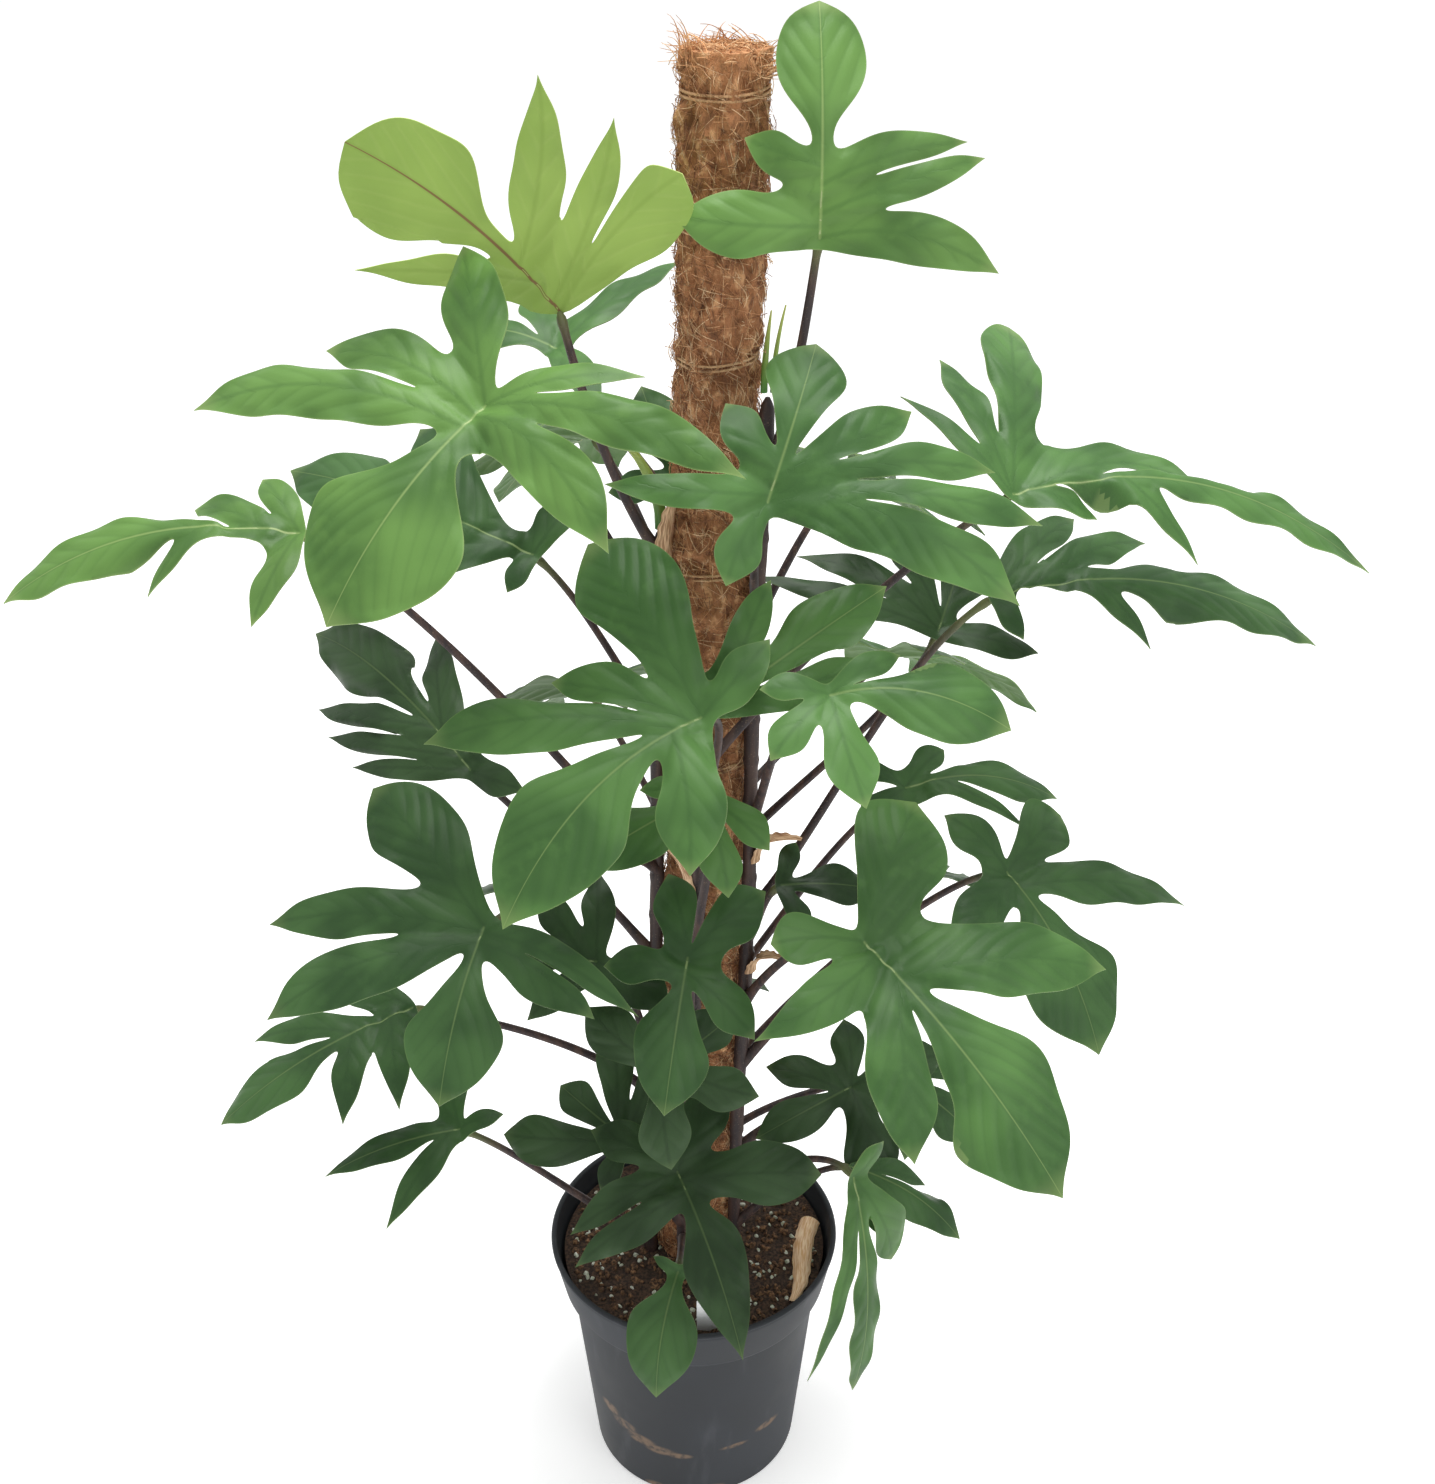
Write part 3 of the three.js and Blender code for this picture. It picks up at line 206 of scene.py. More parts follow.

# Each leaf's tone is partly painted light and shade: darker tones go to leaves in shade, lighter ones to
# lit leaves.
BLADES: dict[str, BladeSpec] = {
    "lime_top": BladeSpec(
        (-75, -40, 1025), (170, 15), 132, Tip(156, 39, SPOON),
        (Lobe(0.22, 61, 128, 18, LANCE), Lobe(0.04, 70, 130, 15, LANCE), Lobe(0, 89, 123, 30, SPOON, -10),
         Lobe(0.15, -39, 109, 13, LANCE)),
        Stalk("stem_left", 850), LIME,
    ),
    "top_right": BladeSpec(
        (80, -52, 1072), (5, 20), 179, Tip(132, 27, SPOON),
        (Lobe(0.22, -74, 91, 14, LANCE, -12), Lobe(0.1, -72, 103, 12, STRAP, -5),
         Lobe(0, -101, 109, 16, STRAP, -25), Lobe(0.3, 69, 47, 15, OVATE), Lobe(0.05, 86, 86, 21, OVATE)),
        Stalk("stem_right", 900, 1.3), FRESH,
    ),
    "left_upper": BladeSpec(
        (-115, -110, 990), (-20, 45), -21, Tip(158, 49, OVATE),
        (Lobe(0.12, -66, 182, 21, STRAP, 18), Lobe(0.05, -84, 114, 21, STRAP, 20),
         Lobe(0, -135, 110, 22, OVATE), Lobe(0.06, 77, 124, 22, STRAP, 28),
         Lobe(0, 103, 168, 16, STRAP, 12), Lobe(0, 129, 97, 12, LANCE)),
        Stalk("stem_left", 800), FRESH,
    ),
    "far_left": BladeSpec(
        (-250, -40, 880), (-30, 60), -59, Tip(212, 19, OVATE, -12),
        (Lobe(0.3, 38, 54, 8, STRAP), Lobe(0.1, -34, 69, 15, STRAP), Lobe(0, 68, 75, 13, OVATE),
         Lobe(0, -62, 63, 12, STRAP)),
        Stalk("stem_left", 600), FRESH,
    ),
    "left_behind": BladeSpec(
        (-110, 50, 825), (-20, 50), -100, Tip(214, 33, OVATE),
        (Lobe(0.1, 41, 83, 12, LANCE), Lobe(0, 83, 33, 14, OVATE), Lobe(0.25, -39, 101, 24, STRAP),
         Lobe(0, -101, 50, 20, OVATE)),
        Stalk("stem_back", 620), DEEP,
    ),
    "crown_back": BladeSpec(
        (-85, 30, 980), (-10, 70), -103, Tip(63, 19, OVATE),
        (Lobe(0.1, -48, 55, 15, OVATE), Lobe(0, -110, 121, 14, LANCE), Lobe(0, 135, 81, 14, LANCE)),
        Stalk("stem_back", 820), MID,
    ),
    "centre_front": BladeSpec(
        (10, -150, 805), (-10, 45), -36, Tip(176, 38, OVATE, -18),
        (Lobe(0.1, -46, 160, 23, STRAP, 12), Lobe(0.04, -65, 93, 21, OVATE),
         Lobe(0, -105, 138, 37, PADDLE), Lobe(0.12, 50, 89, 24, STRAP, 15), Lobe(0, -178, 65, 15, OVATE)),
        Stalk("stem_front", 600, 1.4), MID,
    ),
    "centre_behind": BladeSpec(
        (14, -130, 798), (15, 40), 117, Tip(147, 23, OVATE),
        (Lobe(0.1, 33, 84, 13, STRAP), Lobe(0.05, -19, 112, 14, STRAP), Lobe(0, 98, 62, 13, OVATE)),
        Stalk("stem_front", 640, 1.4), MID,
    ),
    "centre_mid": BladeSpec(
        (10, -95, 715), (0, 45), -59, Tip(94, 23, OVATE),
        (Lobe(0, 73, 71, 20, OVATE), Lobe(0, -36, 42, 15, OVATE), Lobe(0, 109, 58, 19, OVATE)),
        Stalk("stem_front", 560), MID,
    ),
    "right_upper": BladeSpec(
        (50, -110, 930), (10, 38), 157, Tip(105, 30, PADDLE),
        (Lobe(0.2, 55, 51, 20, OVATE), Lobe(0.15, -45, 96, 20, STRAP),
         Lobe(0.04, -65, 141, 15, STRAP, -15), Lobe(0, -76, 170, 18, STRAP, -12),
         Lobe(0, -94, 165, 25, STRAP, -26), Lobe(0, 171, 58, 21, STRAP, -15),
         Lobe(0.04, 105, 99, 11, STRAP)),
        Stalk("stem_right", 760, 1.2), MID,
    ),
    "right_far": BladeSpec(
        (205, -60, 915), (40, 60), 56, Tip(264, 16, OVATE, 17),
        (Lobe(0.05, 15, 144, 20, STRAP, 20), Lobe(0.28, -36, 71, 9, LANCE), Lobe(0.05, -12, 47, 12, STRAP),
         Lobe(0, 83, 161, 24, SPOON), Lobe(0, 109, 116, 14, STRAP), Lobe(0, 137, 96, 8, LANCE)),
        Stalk("stem_front", 690), MID,
    ),
    "right_second": BladeSpec(
        (205, -20, 825), (35, 60), 62, Tip(249, 24, OVATE, 14),
        (Lobe(0.1, 32, 124, 16, LANCE), Lobe(0.28, -39, 59, 11, LANCE), Lobe(0, 48, 112, 15, STRAP),
         Lobe(0, -63, 37, 11, STRAP)),
        Stalk("stem_right", 560), DEEP,
    ),
    "right_inner": BladeSpec(
        (175, 20, 780), (20, 60), 145, Tip(80, 26, OVATE),
        (Lobe(0, 80, 113, 17, LANCE, -15), Lobe(0.1, 40, 79, 17, OVATE), Lobe(0, -81, 73, 14, STRAP),
         Lobe(0, 95, 140, 11, LANCE)),
        Stalk("stem_back", 560), DARK,
    ),
    "right_mid": BladeSpec(
        (88, -160, 826), (10, 50), 73, Tip(112, 27, PADDLE, 20),
        (Lobe(0, -65, 74, 21, STRAP), Lobe(0, 42, 52, 12, OVATE), Lobe(0, -173, 43, 16, OVATE),
         Lobe(0, -121, 57, 19, OVATE)),
        Stalk("stem_right", 640), MID,
    ),
    "right_lower": BladeSpec(
        (115, -170, 650), (15, 50), 26, Tip(201, 42, OVATE),
        (Lobe(0.16, 58, 144, 26, STRAP, 12), Lobe(0.15, -33, 117, 24, STRAP, 8),
         Lobe(0.06, -92, 99, 18, LANCE, -10), Lobe(0, 121, 105, 40, PADDLE), Lobe(0, -124, 62, 28, PADDLE)),
        Stalk("stem_right", 480), MID,
    ),
    "right_back": BladeSpec(
        (230, -30, 610), (40, 55), -10, Tip(145, 41, OVATE),
        (Lobe(0.1, 71, 146, 20, LANCE), Lobe(0, 114, 77, 35, PADDLE), Lobe(0.05, -63, 88, 20, OVATE),
         Lobe(0, -152, 61, 20, OVATE)),
        Stalk("stem_right", 420), DEEP,
    ),
    "right_back_upper": BladeSpec(
        (160, 30, 645), (40, 60), 62, Tip(129, 18, OVATE, 14),
        (Lobe(0.2, -26, 78, 7, LANCE), Lobe(0, 43, 55, 16, OVATE), Lobe(0, 153, 46, 19, PADDLE),
         Lobe(0, -138, 60, 16, OVATE)),
        Stalk("stem_back", 430), DEEP,
    ),
    "left_lower": BladeSpec(
        (-135, -140, 640), (-15, 50), 0, Tip(120, 37, OVATE),
        (Lobe(0.1, -61, 151, 25, STRAP, 16), Lobe(0.03, -83, 151, 18, STRAP, 10),
         Lobe(0, -129, 133, 31, PADDLE), Lobe(0.1, 68, 95, 20, STRAP, 16),
         Lobe(0.03, 72, 123, 13, LANCE, 12)),
        Stalk("stem_left", 600), DEEP,
    ),
    "centre_small": BladeSpec(
        (0, -140, 615), (0, 50), -8, Tip(106, 28, OVATE),
        (Lobe(0.1, 54, 64, 18, STRAP), Lobe(0, 139, 70, 24, OVATE), Lobe(0, -159, 60, 22, OVATE),
         Lobe(0.1, -87, 55, 19, OVATE)),
        Stalk("stem_front", 450), DEEP,
    ),
    "left_dark": BladeSpec(
        (-155, -20, 690), (-40, 50), -102, Tip(212, 26, OVATE, -12),
        (Lobe(0.2, 23, 124, 14, LANCE), Lobe(0.06, 25, 128, 11, LANCE), Lobe(0, 32, 105, 10, LANCE),
         Lobe(0.15, -33, 95, 18, LANCE, 10), Lobe(0, -164, 52, 13, OVATE)),
        Stalk("stem_left", 520), DARK,
    ),
    "left_low_back": BladeSpec(
        (-205, -60, 510), (-30, 60), -35, Tip(162, 23, OVATE),
        (Lobe(0.28, -34, 86, 13, LANCE), Lobe(0.28, 57, 65, 14, LANCE), Lobe(0.1, 71, 73, 14, LANCE),
         Lobe(0, -49, 74, 16, STRAP)),
        Stalk("stem_left", 380), DEEP,
    ),
    "left_bottom": BladeSpec(
        (-175, -80, 410), (-30, 65), -47, Tip(108, 15, LANCE),
        (Lobe(0.06, 44, 85, 12, LANCE), Lobe(0, -86, 70, 20, OVATE), Lobe(0, 179, 35, 11, OVATE)),
        Stalk("stem_left", 232, 0.45), DEEP,
    ),
    "centre_left_dark": BladeSpec(
        (-66, -84, 570), (-20, 50), -79, Tip(70, 25, OVATE),
        (Lobe(0, -85, 68, 17, LANCE), Lobe(0.1, -48, 68, 18, LANCE), Lobe(0, 150, 65, 20, OVATE),
         Lobe(0.1, 48, 59, 18, LANCE)),
        Stalk("stem_left", 430), DARK,
    ),
    "front_left_dark": BladeSpec(
        (-50, -78, 397), (-20, 50), -114, Tip(69, 32, OVATE),
        (Lobe(0.1, -47, 89, 19, STRAP), Lobe(0, 35, 98, 21, PADDLE), Lobe(0, -72, 73, 19, OVATE),
         Lobe(0, 102, 41, 20, OVATE)),
        Stalk("stem_front", 270), DARK,
    ),
    "front_bottom": BladeSpec(
        (-10, -110, 395), (0, 45), 20, Tip(142, 25, LANCE, 6),
        (Lobe(0.12, -77, 98, 18, LANCE), Lobe(0, -80, 91, 18, LANCE), Lobe(0.06, 73, 104, 24, PADDLE),
         Lobe(0, 130, 76, 20, STRAP), Lobe(0, -135, 72, 20, STRAP)),
        Stalk("stem_front", 300), DARK,
    ),
    "front_dark": BladeSpec(
        (-20, -98, 484), (4, 30), 125, Tip(66, 23, OVATE),
        (Lobe(0.1, -58, 70, 20, STRAP), Lobe(0, -122, 74, 24, OVATE), Lobe(0, 104, 72, 24, OVATE)),
        Stalk("stem_front", 496, 0.4), DARK,
    ),
    "front_low": BladeSpec(
        (-10, -130, 312), (0, 35), -10, Tip(94, 28, OVATE, -10),
        (Lobe(0, 112, 22, 11, OVATE), Lobe(0, -112, 22, 11, OVATE)),
        Stalk("stem_front", 250), DEEP,
    ),
    "right_hang": BladeSpec(
        (124, -90, 370), (34, 12), -7, Tip(188, 14, PADDLE),
        (Lobe(0.1, -17, 150, 7, LANCE), Lobe(0, 24, 92, 26, OVATE), Lobe(0, 128, 36, 13, OVATE)),
        Stalk("stem_right", 290), MID,
    ),
    "right_bottom_out": BladeSpec(
        (125, -40, 335), (40, 50), 31, Tip(110, 18, OVATE, 10),
        (Lobe(0.1, 21, 59, 12, LANCE), Lobe(0, -32, 65, 15, OVATE)),
        Stalk("stem_right", 250), DEEP,
    ),
    "right_low_dark": BladeSpec(
        (129, 20, 365), (10, 50), -69, Tip(90, 19, OVATE),
        (Lobe(0.1, -46, 65, 18, OVATE), Lobe(0, -114, 56, 22, OVATE), Lobe(0, 73, 82, 30, OVATE),
         Lobe(0, 171, 85, 22, OVATE)),
        Stalk("stem_right", 330), DARK,
    ),
    "right_stub": BladeSpec(
        (66, -45, 609), (20, 55), 75, Tip(69, 20, OVATE),
        (Lobe(0, -60, 39, 15, OVATE), Lobe(0, 70, 36, 14, OVATE)),
        Stalk("stem_right", 540), DARK,
    ),
    "round_left": BladeSpec(
        (-8, 62, 880), (-15, 30), -150, Tip(68, 22, OVATE),
        (Lobe(0, -70, 55, 16, OVATE), Lobe(0, 80, 51, 15, OVATE)),
        Stalk("stem_back", 760), DEEP,
    ),
    "back_top_left": BladeSpec(
        (-71, 134, 880), (-150, 50), 20, Tip(120, 29, OVATE),
        (Lobe(0.1, 55, 96, 19, STRAP), Lobe(0, 100, 84, 22, OVATE), Lobe(0.1, -58, 92, 19, STRAP),
         Lobe(0, -105, 70, 20, OVATE)),
        Stalk("stem_back", 700), MID,
    ),
    "back_top_right": BladeSpec(
        (112, 88, 868), (140, 50), -15, Tip(132, 31, OVATE),
        (Lobe(0.1, 56, 104, 20, STRAP), Lobe(0, 104, 82, 22, OVATE), Lobe(0.1, -54, 98, 18, STRAP),
         Lobe(0, -112, 78, 20, OVATE)),
        Stalk("stem_back", 720), MID,
    ),
    "back_mid_left": BladeSpec(
        (-80, 130, 672), (-150, 48), 10, Tip(150, 33, OVATE),
        (Lobe(0.14, 48, 128, 22, STRAP), Lobe(0, 96, 104, 26, PADDLE), Lobe(0.14, -50, 122, 21, STRAP),
         Lobe(0, -100, 96, 24, PADDLE)),
        Stalk("stem_back", 520), DEEP,
    ),
    "back_mid_right": BladeSpec(
        (150, 140, 700), (150, 50), -12, Tip(140, 32, OVATE),
        (Lobe(0.14, 50, 118, 21, STRAP), Lobe(0, 98, 92, 24, PADDLE), Lobe(0.14, -48, 120, 21, STRAP),
         Lobe(0, -104, 88, 24, PADDLE)),
        Stalk("stem_back", 590), MID,
    ),
    "back_low_left": BladeSpec(
        (-150, 118, 496), (-140, 50), 14, Tip(118, 27, OVATE),
        (Lobe(0.1, 54, 96, 19, STRAP), Lobe(0, 110, 72, 20, OVATE), Lobe(0.1, -52, 98, 19, STRAP)),
        Stalk("stem_back", 380), DEEP,
    ),
    "back_low_right": BladeSpec(
        (196, 120, 506), (140, 52), -16, Tip(112, 26, OVATE),
        (Lobe(0.1, 52, 92, 18, STRAP), Lobe(0, 108, 70, 20, OVATE), Lobe(0.1, -55, 94, 18, STRAP)),
        Stalk("stem_back", 340), DEEP,
    ),
    "back_bottom": BladeSpec(
        (-24, 138, 380), (175, 50), -8, Tip(114, 27, OVATE),
        (Lobe(0.1, 56, 92, 18, STRAP), Lobe(0.1, -54, 97, 20, STRAP), Lobe(0, -118, 66, 21, OVATE),
         Lobe(0, 116, 68, 21, OVATE)),
        Stalk("stem_back", 250), DARK,
    ),
    "right_low_back": BladeSpec(
        (174, 62, 338), (40, 50), 25, Tip(83, 25, OVATE),
        (Lobe(0, 54, 65, 22, OVATE), Lobe(0.1, -63, 65, 18, OVATE)),
        Stalk("stem_back", 280), DEEP,
    ),
}


def lerp(low: float, high: float, share: float) -> float:
    """Returns the value that lies a share of the way from low to high."""
    return low + (high - low) * share


def smooth(values: Array) -> Array:
    """Returns values from 0 to 1 eased at both ends."""
    held = np.clip(values, 0, 1)
    return held * held * (3 - 2 * held)


def bell(distance: Array, width: float) -> Array:
    """Returns a bell curve's height, 1 in the middle, at distances from it."""
    return np.exp(-((distance / width) ** 2))


def full_turn(count: int) -> Array:
    """Returns a number of angles spread evenly round a circle, in radians."""
    return np.linspace(0, 2 * np.pi, count, endpoint=False)


def circle(radius: float, height: float | Array, count: int) -> Array:
    """Returns a ring of points round the origin, at one height or each at its own."""
    angles = full_turn(count)
    return np.stack([radius * np.cos(angles), radius * np.sin(angles), np.zeros(count) + height], 1)


def unit(vector: Array) -> Array:
    """Returns a vector, or rows of vectors, at length 1."""
    return vector / np.linalg.norm(vector, axis=-1, keepdims=True)


def heading(turn: float) -> Array:
    """Returns the unit vector in a plane at an angle in radians."""
    return np.array([math.cos(turn), math.sin(turn)])


def compass(angle: float, radius: float, z: float) -> Array:
    """Returns the point at a compass angle from the front, at a radius and height."""
    turn = math.radians(angle)
    return np.array([radius * math.sin(turn), -radius * math.cos(turn), z])


def pole_shift(z: float) -> float:
    """Returns how far the leaning pole stands to the right at a height."""
    return POLE_LEAN * (z - SOIL_LEVEL)


def coir_radius(z: float) -> float:
    """Returns the coir sleeve's mean radius at a height."""
    return lerp(*COIR_RADII, min(max((z - COIR_FOOT) / (POLE_TOP - COIR_FOOT), 0), 1))


def coir_surface(angle: float, z: float) -> float:
    """Returns the coir sleeve's radius at an angle and height, with its lumps and the twine's waists."""
    lump = sum(math.sin(count * angle + z / rise) for count, rise in COIR_WAVES)
    tied = sum(math.exp(-(((z - level) / TWINE_SPREAD) ** 2)) for level in TWINE_LEVELS)
    return coir_radius(z) + COIR_LUMP * lump / len(COIR_WAVES) - TWINE_BITE * tied


def stem_place(stem: StemSpec, z: float) -> Array:
    """Returns the middle of a stem at a height."""
    clear = coir_radius(z) + COIR_LUMP + STEM_RADIUS + SEAT_GAP
    place = compass(stem.side + STEM_SWAY * math.sin(z / STEM_SWAY_RISE), clear, z)
    place[0] += pole_shift(z)
    return place


@dataclass
class Shell:
    """Gathers closed shells into one mesh, with a mark on each vertex for the material to read."""

    points: list[Array] = field(default_factory=list)
    faces: list[list[int]] = field(default_factory=list)
    marks: list[Array] = field(default_factory=list)
    count: int = 0

    def add(self, points: Array, faces: Sequence[Sequence[int]], marks: Array) -> None:
        """Adds a shell.

        Args:
            points: its vertices in millimetres, one row each.
            faces: its faces, counted from its own first vertex.
            marks: a value from 0 to 1 for each vertex.
        """
        self.points.append(points)
        self.faces.extend([index + self.count for index in face] for face in faces)
        self.marks.append(marks)
        self.count += len(points)

    def add_rings(self, rings: Sequence[Array], mark: float = 0) -> None:
        """Adds the shell that rings of points close, first to last, with one mark on all of it."""
        points = np.concatenate(rings)
        self.add(points, rings_faces(len(rings), len(rings[0])), np.full(len(points), float(mark)))

    def add_tube(self, path: Array, radii: Array, sides: int, mark: float | Array = 0) -> None:
        """Adds a tube along a path, with one mark on all of it or one at each step of the path."""
        points, faces = tube(path, radii, sides)
        self.add(points, faces, np.repeat(np.zeros(len(path)) + mark, sides))

    def piece(self, name: str, sharp: float = 50) -> bpy.types.Object:
        """Makes the object, smooth shaded but for edges sharper than an angle.

        Args:
            name: the object's name.
            sharp: the angle past which an edge stays sharp, in degrees.

        Returns:
            The new object, linked to the scene.
        """
        mesh = surface(name, np.concatenate(self.points), self.faces)
        write_values(mesh, "mark", np.concatenate(self.marks))
        return smoothed(name, mesh, sharp)


def surface(name: str, points: Array, faces: Sequence[Sequence[int]]) -> bpy.types.Mesh:
    """Returns a new mesh in metres, from points in millimetres."""
    mesh = bpy.data.meshes.new(name)
    mesh.from_pydata((points * MM).tolist(), [], faces)
    return mesh


def write_values(mesh: bpy.types.Mesh, name: str, values: Array) -> None:
    """Stores a value for each vertex, for a material to read."""
    layer = mesh.attributes.new(name, "FLOAT", "POINT")
    layer.data.foreach_set("value", values.astype(np.float32))


def write_chart(mesh: bpy.types.Mesh, name: str, corners: Array) -> None:
    """Stores a map with a place for each face corner, for a material to read."""
    mesh.uv_layers.new(name=name).data.foreach_set("uv", corners.astype(np.float32).ravel())


def smoothed(name: str, mesh: bpy.types.Mesh, sharp: float) -> bpy.types.Object:
    """Returns a mesh's object, smooth shaded but for edges sharper than an angle in degrees."""
    mesh.shade_smooth()
    mesh.set_sharp_from_angle(angle=math.radians(sharp))
    return link(name, mesh)


def link(name: str, mesh: bpy.types.Mesh) -> bpy.types.Object:
    """Returns a new object for a mesh, linked to the scene."""
    piece = bpy.data.objects.new(name, mesh)
    bpy.context.scene.collection.objects.link(piece)
    return piece


def worked_out(piece: bpy.types.Object) -> bpy.types.Mesh:
    """Returns a new mesh of what a piece's modifiers make of it."""
    graph = bpy.context.evaluated_depsgraph_get()
    return bpy.data.meshes.new_from_object(piece.evaluated_get(graph), depsgraph=graph)


def seat(piece: bpy.types.Object, slot: str, node: str, *finishes: bpy.types.Material) -> None:
    """Dresses a finished piece and puts it on the root body in place of a CAD node.

    Args:
        piece: the piece, at the origin with its place in its mesh.
        slot: the record's material slot; it is not used.
        node: the node that it stands for.
        finishes: its materials, where it hasn't got them yet.
    """
    for finish in finishes:
        piece.data.materials.append(finish)
    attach(piece, "root")
    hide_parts(node)
    log.info("%s: %d faces", piece.name, len(piece.data.polygons))


def rings_faces(rings: int, count: int) -> list[list[int]]:
    """Returns the faces that close rings of points, first to last, into a shell with flat ends."""
    faces = []
    for ring in range(rings - 1):
        for i in range(count):
            a, b = ring * count + i, ring * count + (i + 1) % count
            faces.append([a, b, b + count, a + count])
    faces.append(list(range(count))[::-1])
    faces.append([(rings - 1) * count + i for i in range(count)])
    return faces


def tube(path: Array, radii: Array, sides: int) -> tuple[Array, list[list[int]]]:
    """Sweeps a round section along a path without twisting it.

    Args:
        path: points along the middle.
        radii: the radius at each point.
        sides: the section's number of sides.

    Returns:
        The points and faces of a closed tube.
    """
    along = unit(np.gradient(path, axis=0))
    across = unit(np.cross(along[0], ASIDE))
    angles = full_turn(sides)
    rings = []
    for place, direction, radius in zip(path, along, radii):
        across = unit(across - direction * np.dot(across, direction))
        up = np.cross(direction, across)
        rings.append(place + radius * (np.outer(np.cos(angles), across) + np.outer(np.sin(angles), up)))
    return np.concatenate(rings), rings_faces(len(path), sides)


def bezier(controls: Sequence[Array], shares: Array) -> Array:
    """Returns points on a quadratic or cubic curve at shares from 0 to 1."""
    level = [np.asarray(control, float)[None, :] for control in controls]
    t = shares[:, None]
    while len(level) > 1:
        level = [a * (1 - t) + b * t for a, b in zip(level, level[1:])]
    return level[0]


@dataclass
class Rib:
    """A rib in the blade's plane: a curve from its root to a lobe's tip, and the lobe's widths.

    Its start is the share of the midrib where it leaves it, its angle is from the midrib, 0 for the
    end lobe, and its web is the share along it where the lobe stands free of its neighbours.
    """

    controls: list[Array]
    start: float
    angle: float
    reach: float
    half_width: float
    shape: Shape
    web: float
    chords: int = 20
    shoulder: float = 0.65

    def __post_init__(self) -> None:
        """Works out the points that distances are measured from."""
        self.line = self.points(np.linspace(0, 1, self.chords + 1))

    def points(self, shares: Array) -> Array:
        """Returns points on the rib at shares from 0 to 1."""
        return bezier(self.controls, shares)

    def tangents(self, shares: Array) -> Array:
        """Returns unit tangents at shares from 0 to 1."""
        first, second, third = self.controls
        t = shares[:, None]
        return unit((second - first) * (1 - t) + (third - second) * t)

    def half_widths(self, shares: Array) -> Array:
        """Returns the lobe's half widths at shares from 0 to 1, drawn out to a point at the tip."""
        form = self.shape.value
        left = np.clip((form.widest - shares) / (form.widest - form.waist), 0, 1)
        shoulder = form.neck + (1 - form.neck) * (1 - left**2) ** self.shoulder
        fall = np.clip((shares - form.widest) / (1 - form.widest), 0, 1)
        body = (1 - fall**2) ** form.taper
        return self.half_width * shoulder * body * smooth((1 - fall) / (1 - form.drip))

    def nearest(self, points: Array) -> tuple[Array, Array, Array]:
        """Finds the nearest place on the rib to each point.

        Args:
            points: points in the blade's plane.

        Returns:
            The distances, the shares along the rib, and the side, 1 to its left and -1 to its right.
        """
        first, chords = self.line[:-1], np.diff(self.line, axis=0)
        offsets = points[:, None, :] - first[None, :, :]
        shares = np.clip((offsets * chords).sum(2) / (chords**2).sum(1), 0, 1)
        gaps = offsets - shares[:, :, None] * chords
        distances = np.linalg.norm(gaps, axis=2)
        best = distances.argmin(1)
        rows = np.arange(len(points))
        cross = chords[best, 0] * offsets[rows, best, 1] - chords[best, 1] * offsets[rows, best, 0]
        sides = np.where(cross < 0, -1.0, 1.0)
        return distances[rows, best], (best + shares[rows, best]) / self.chords, sides


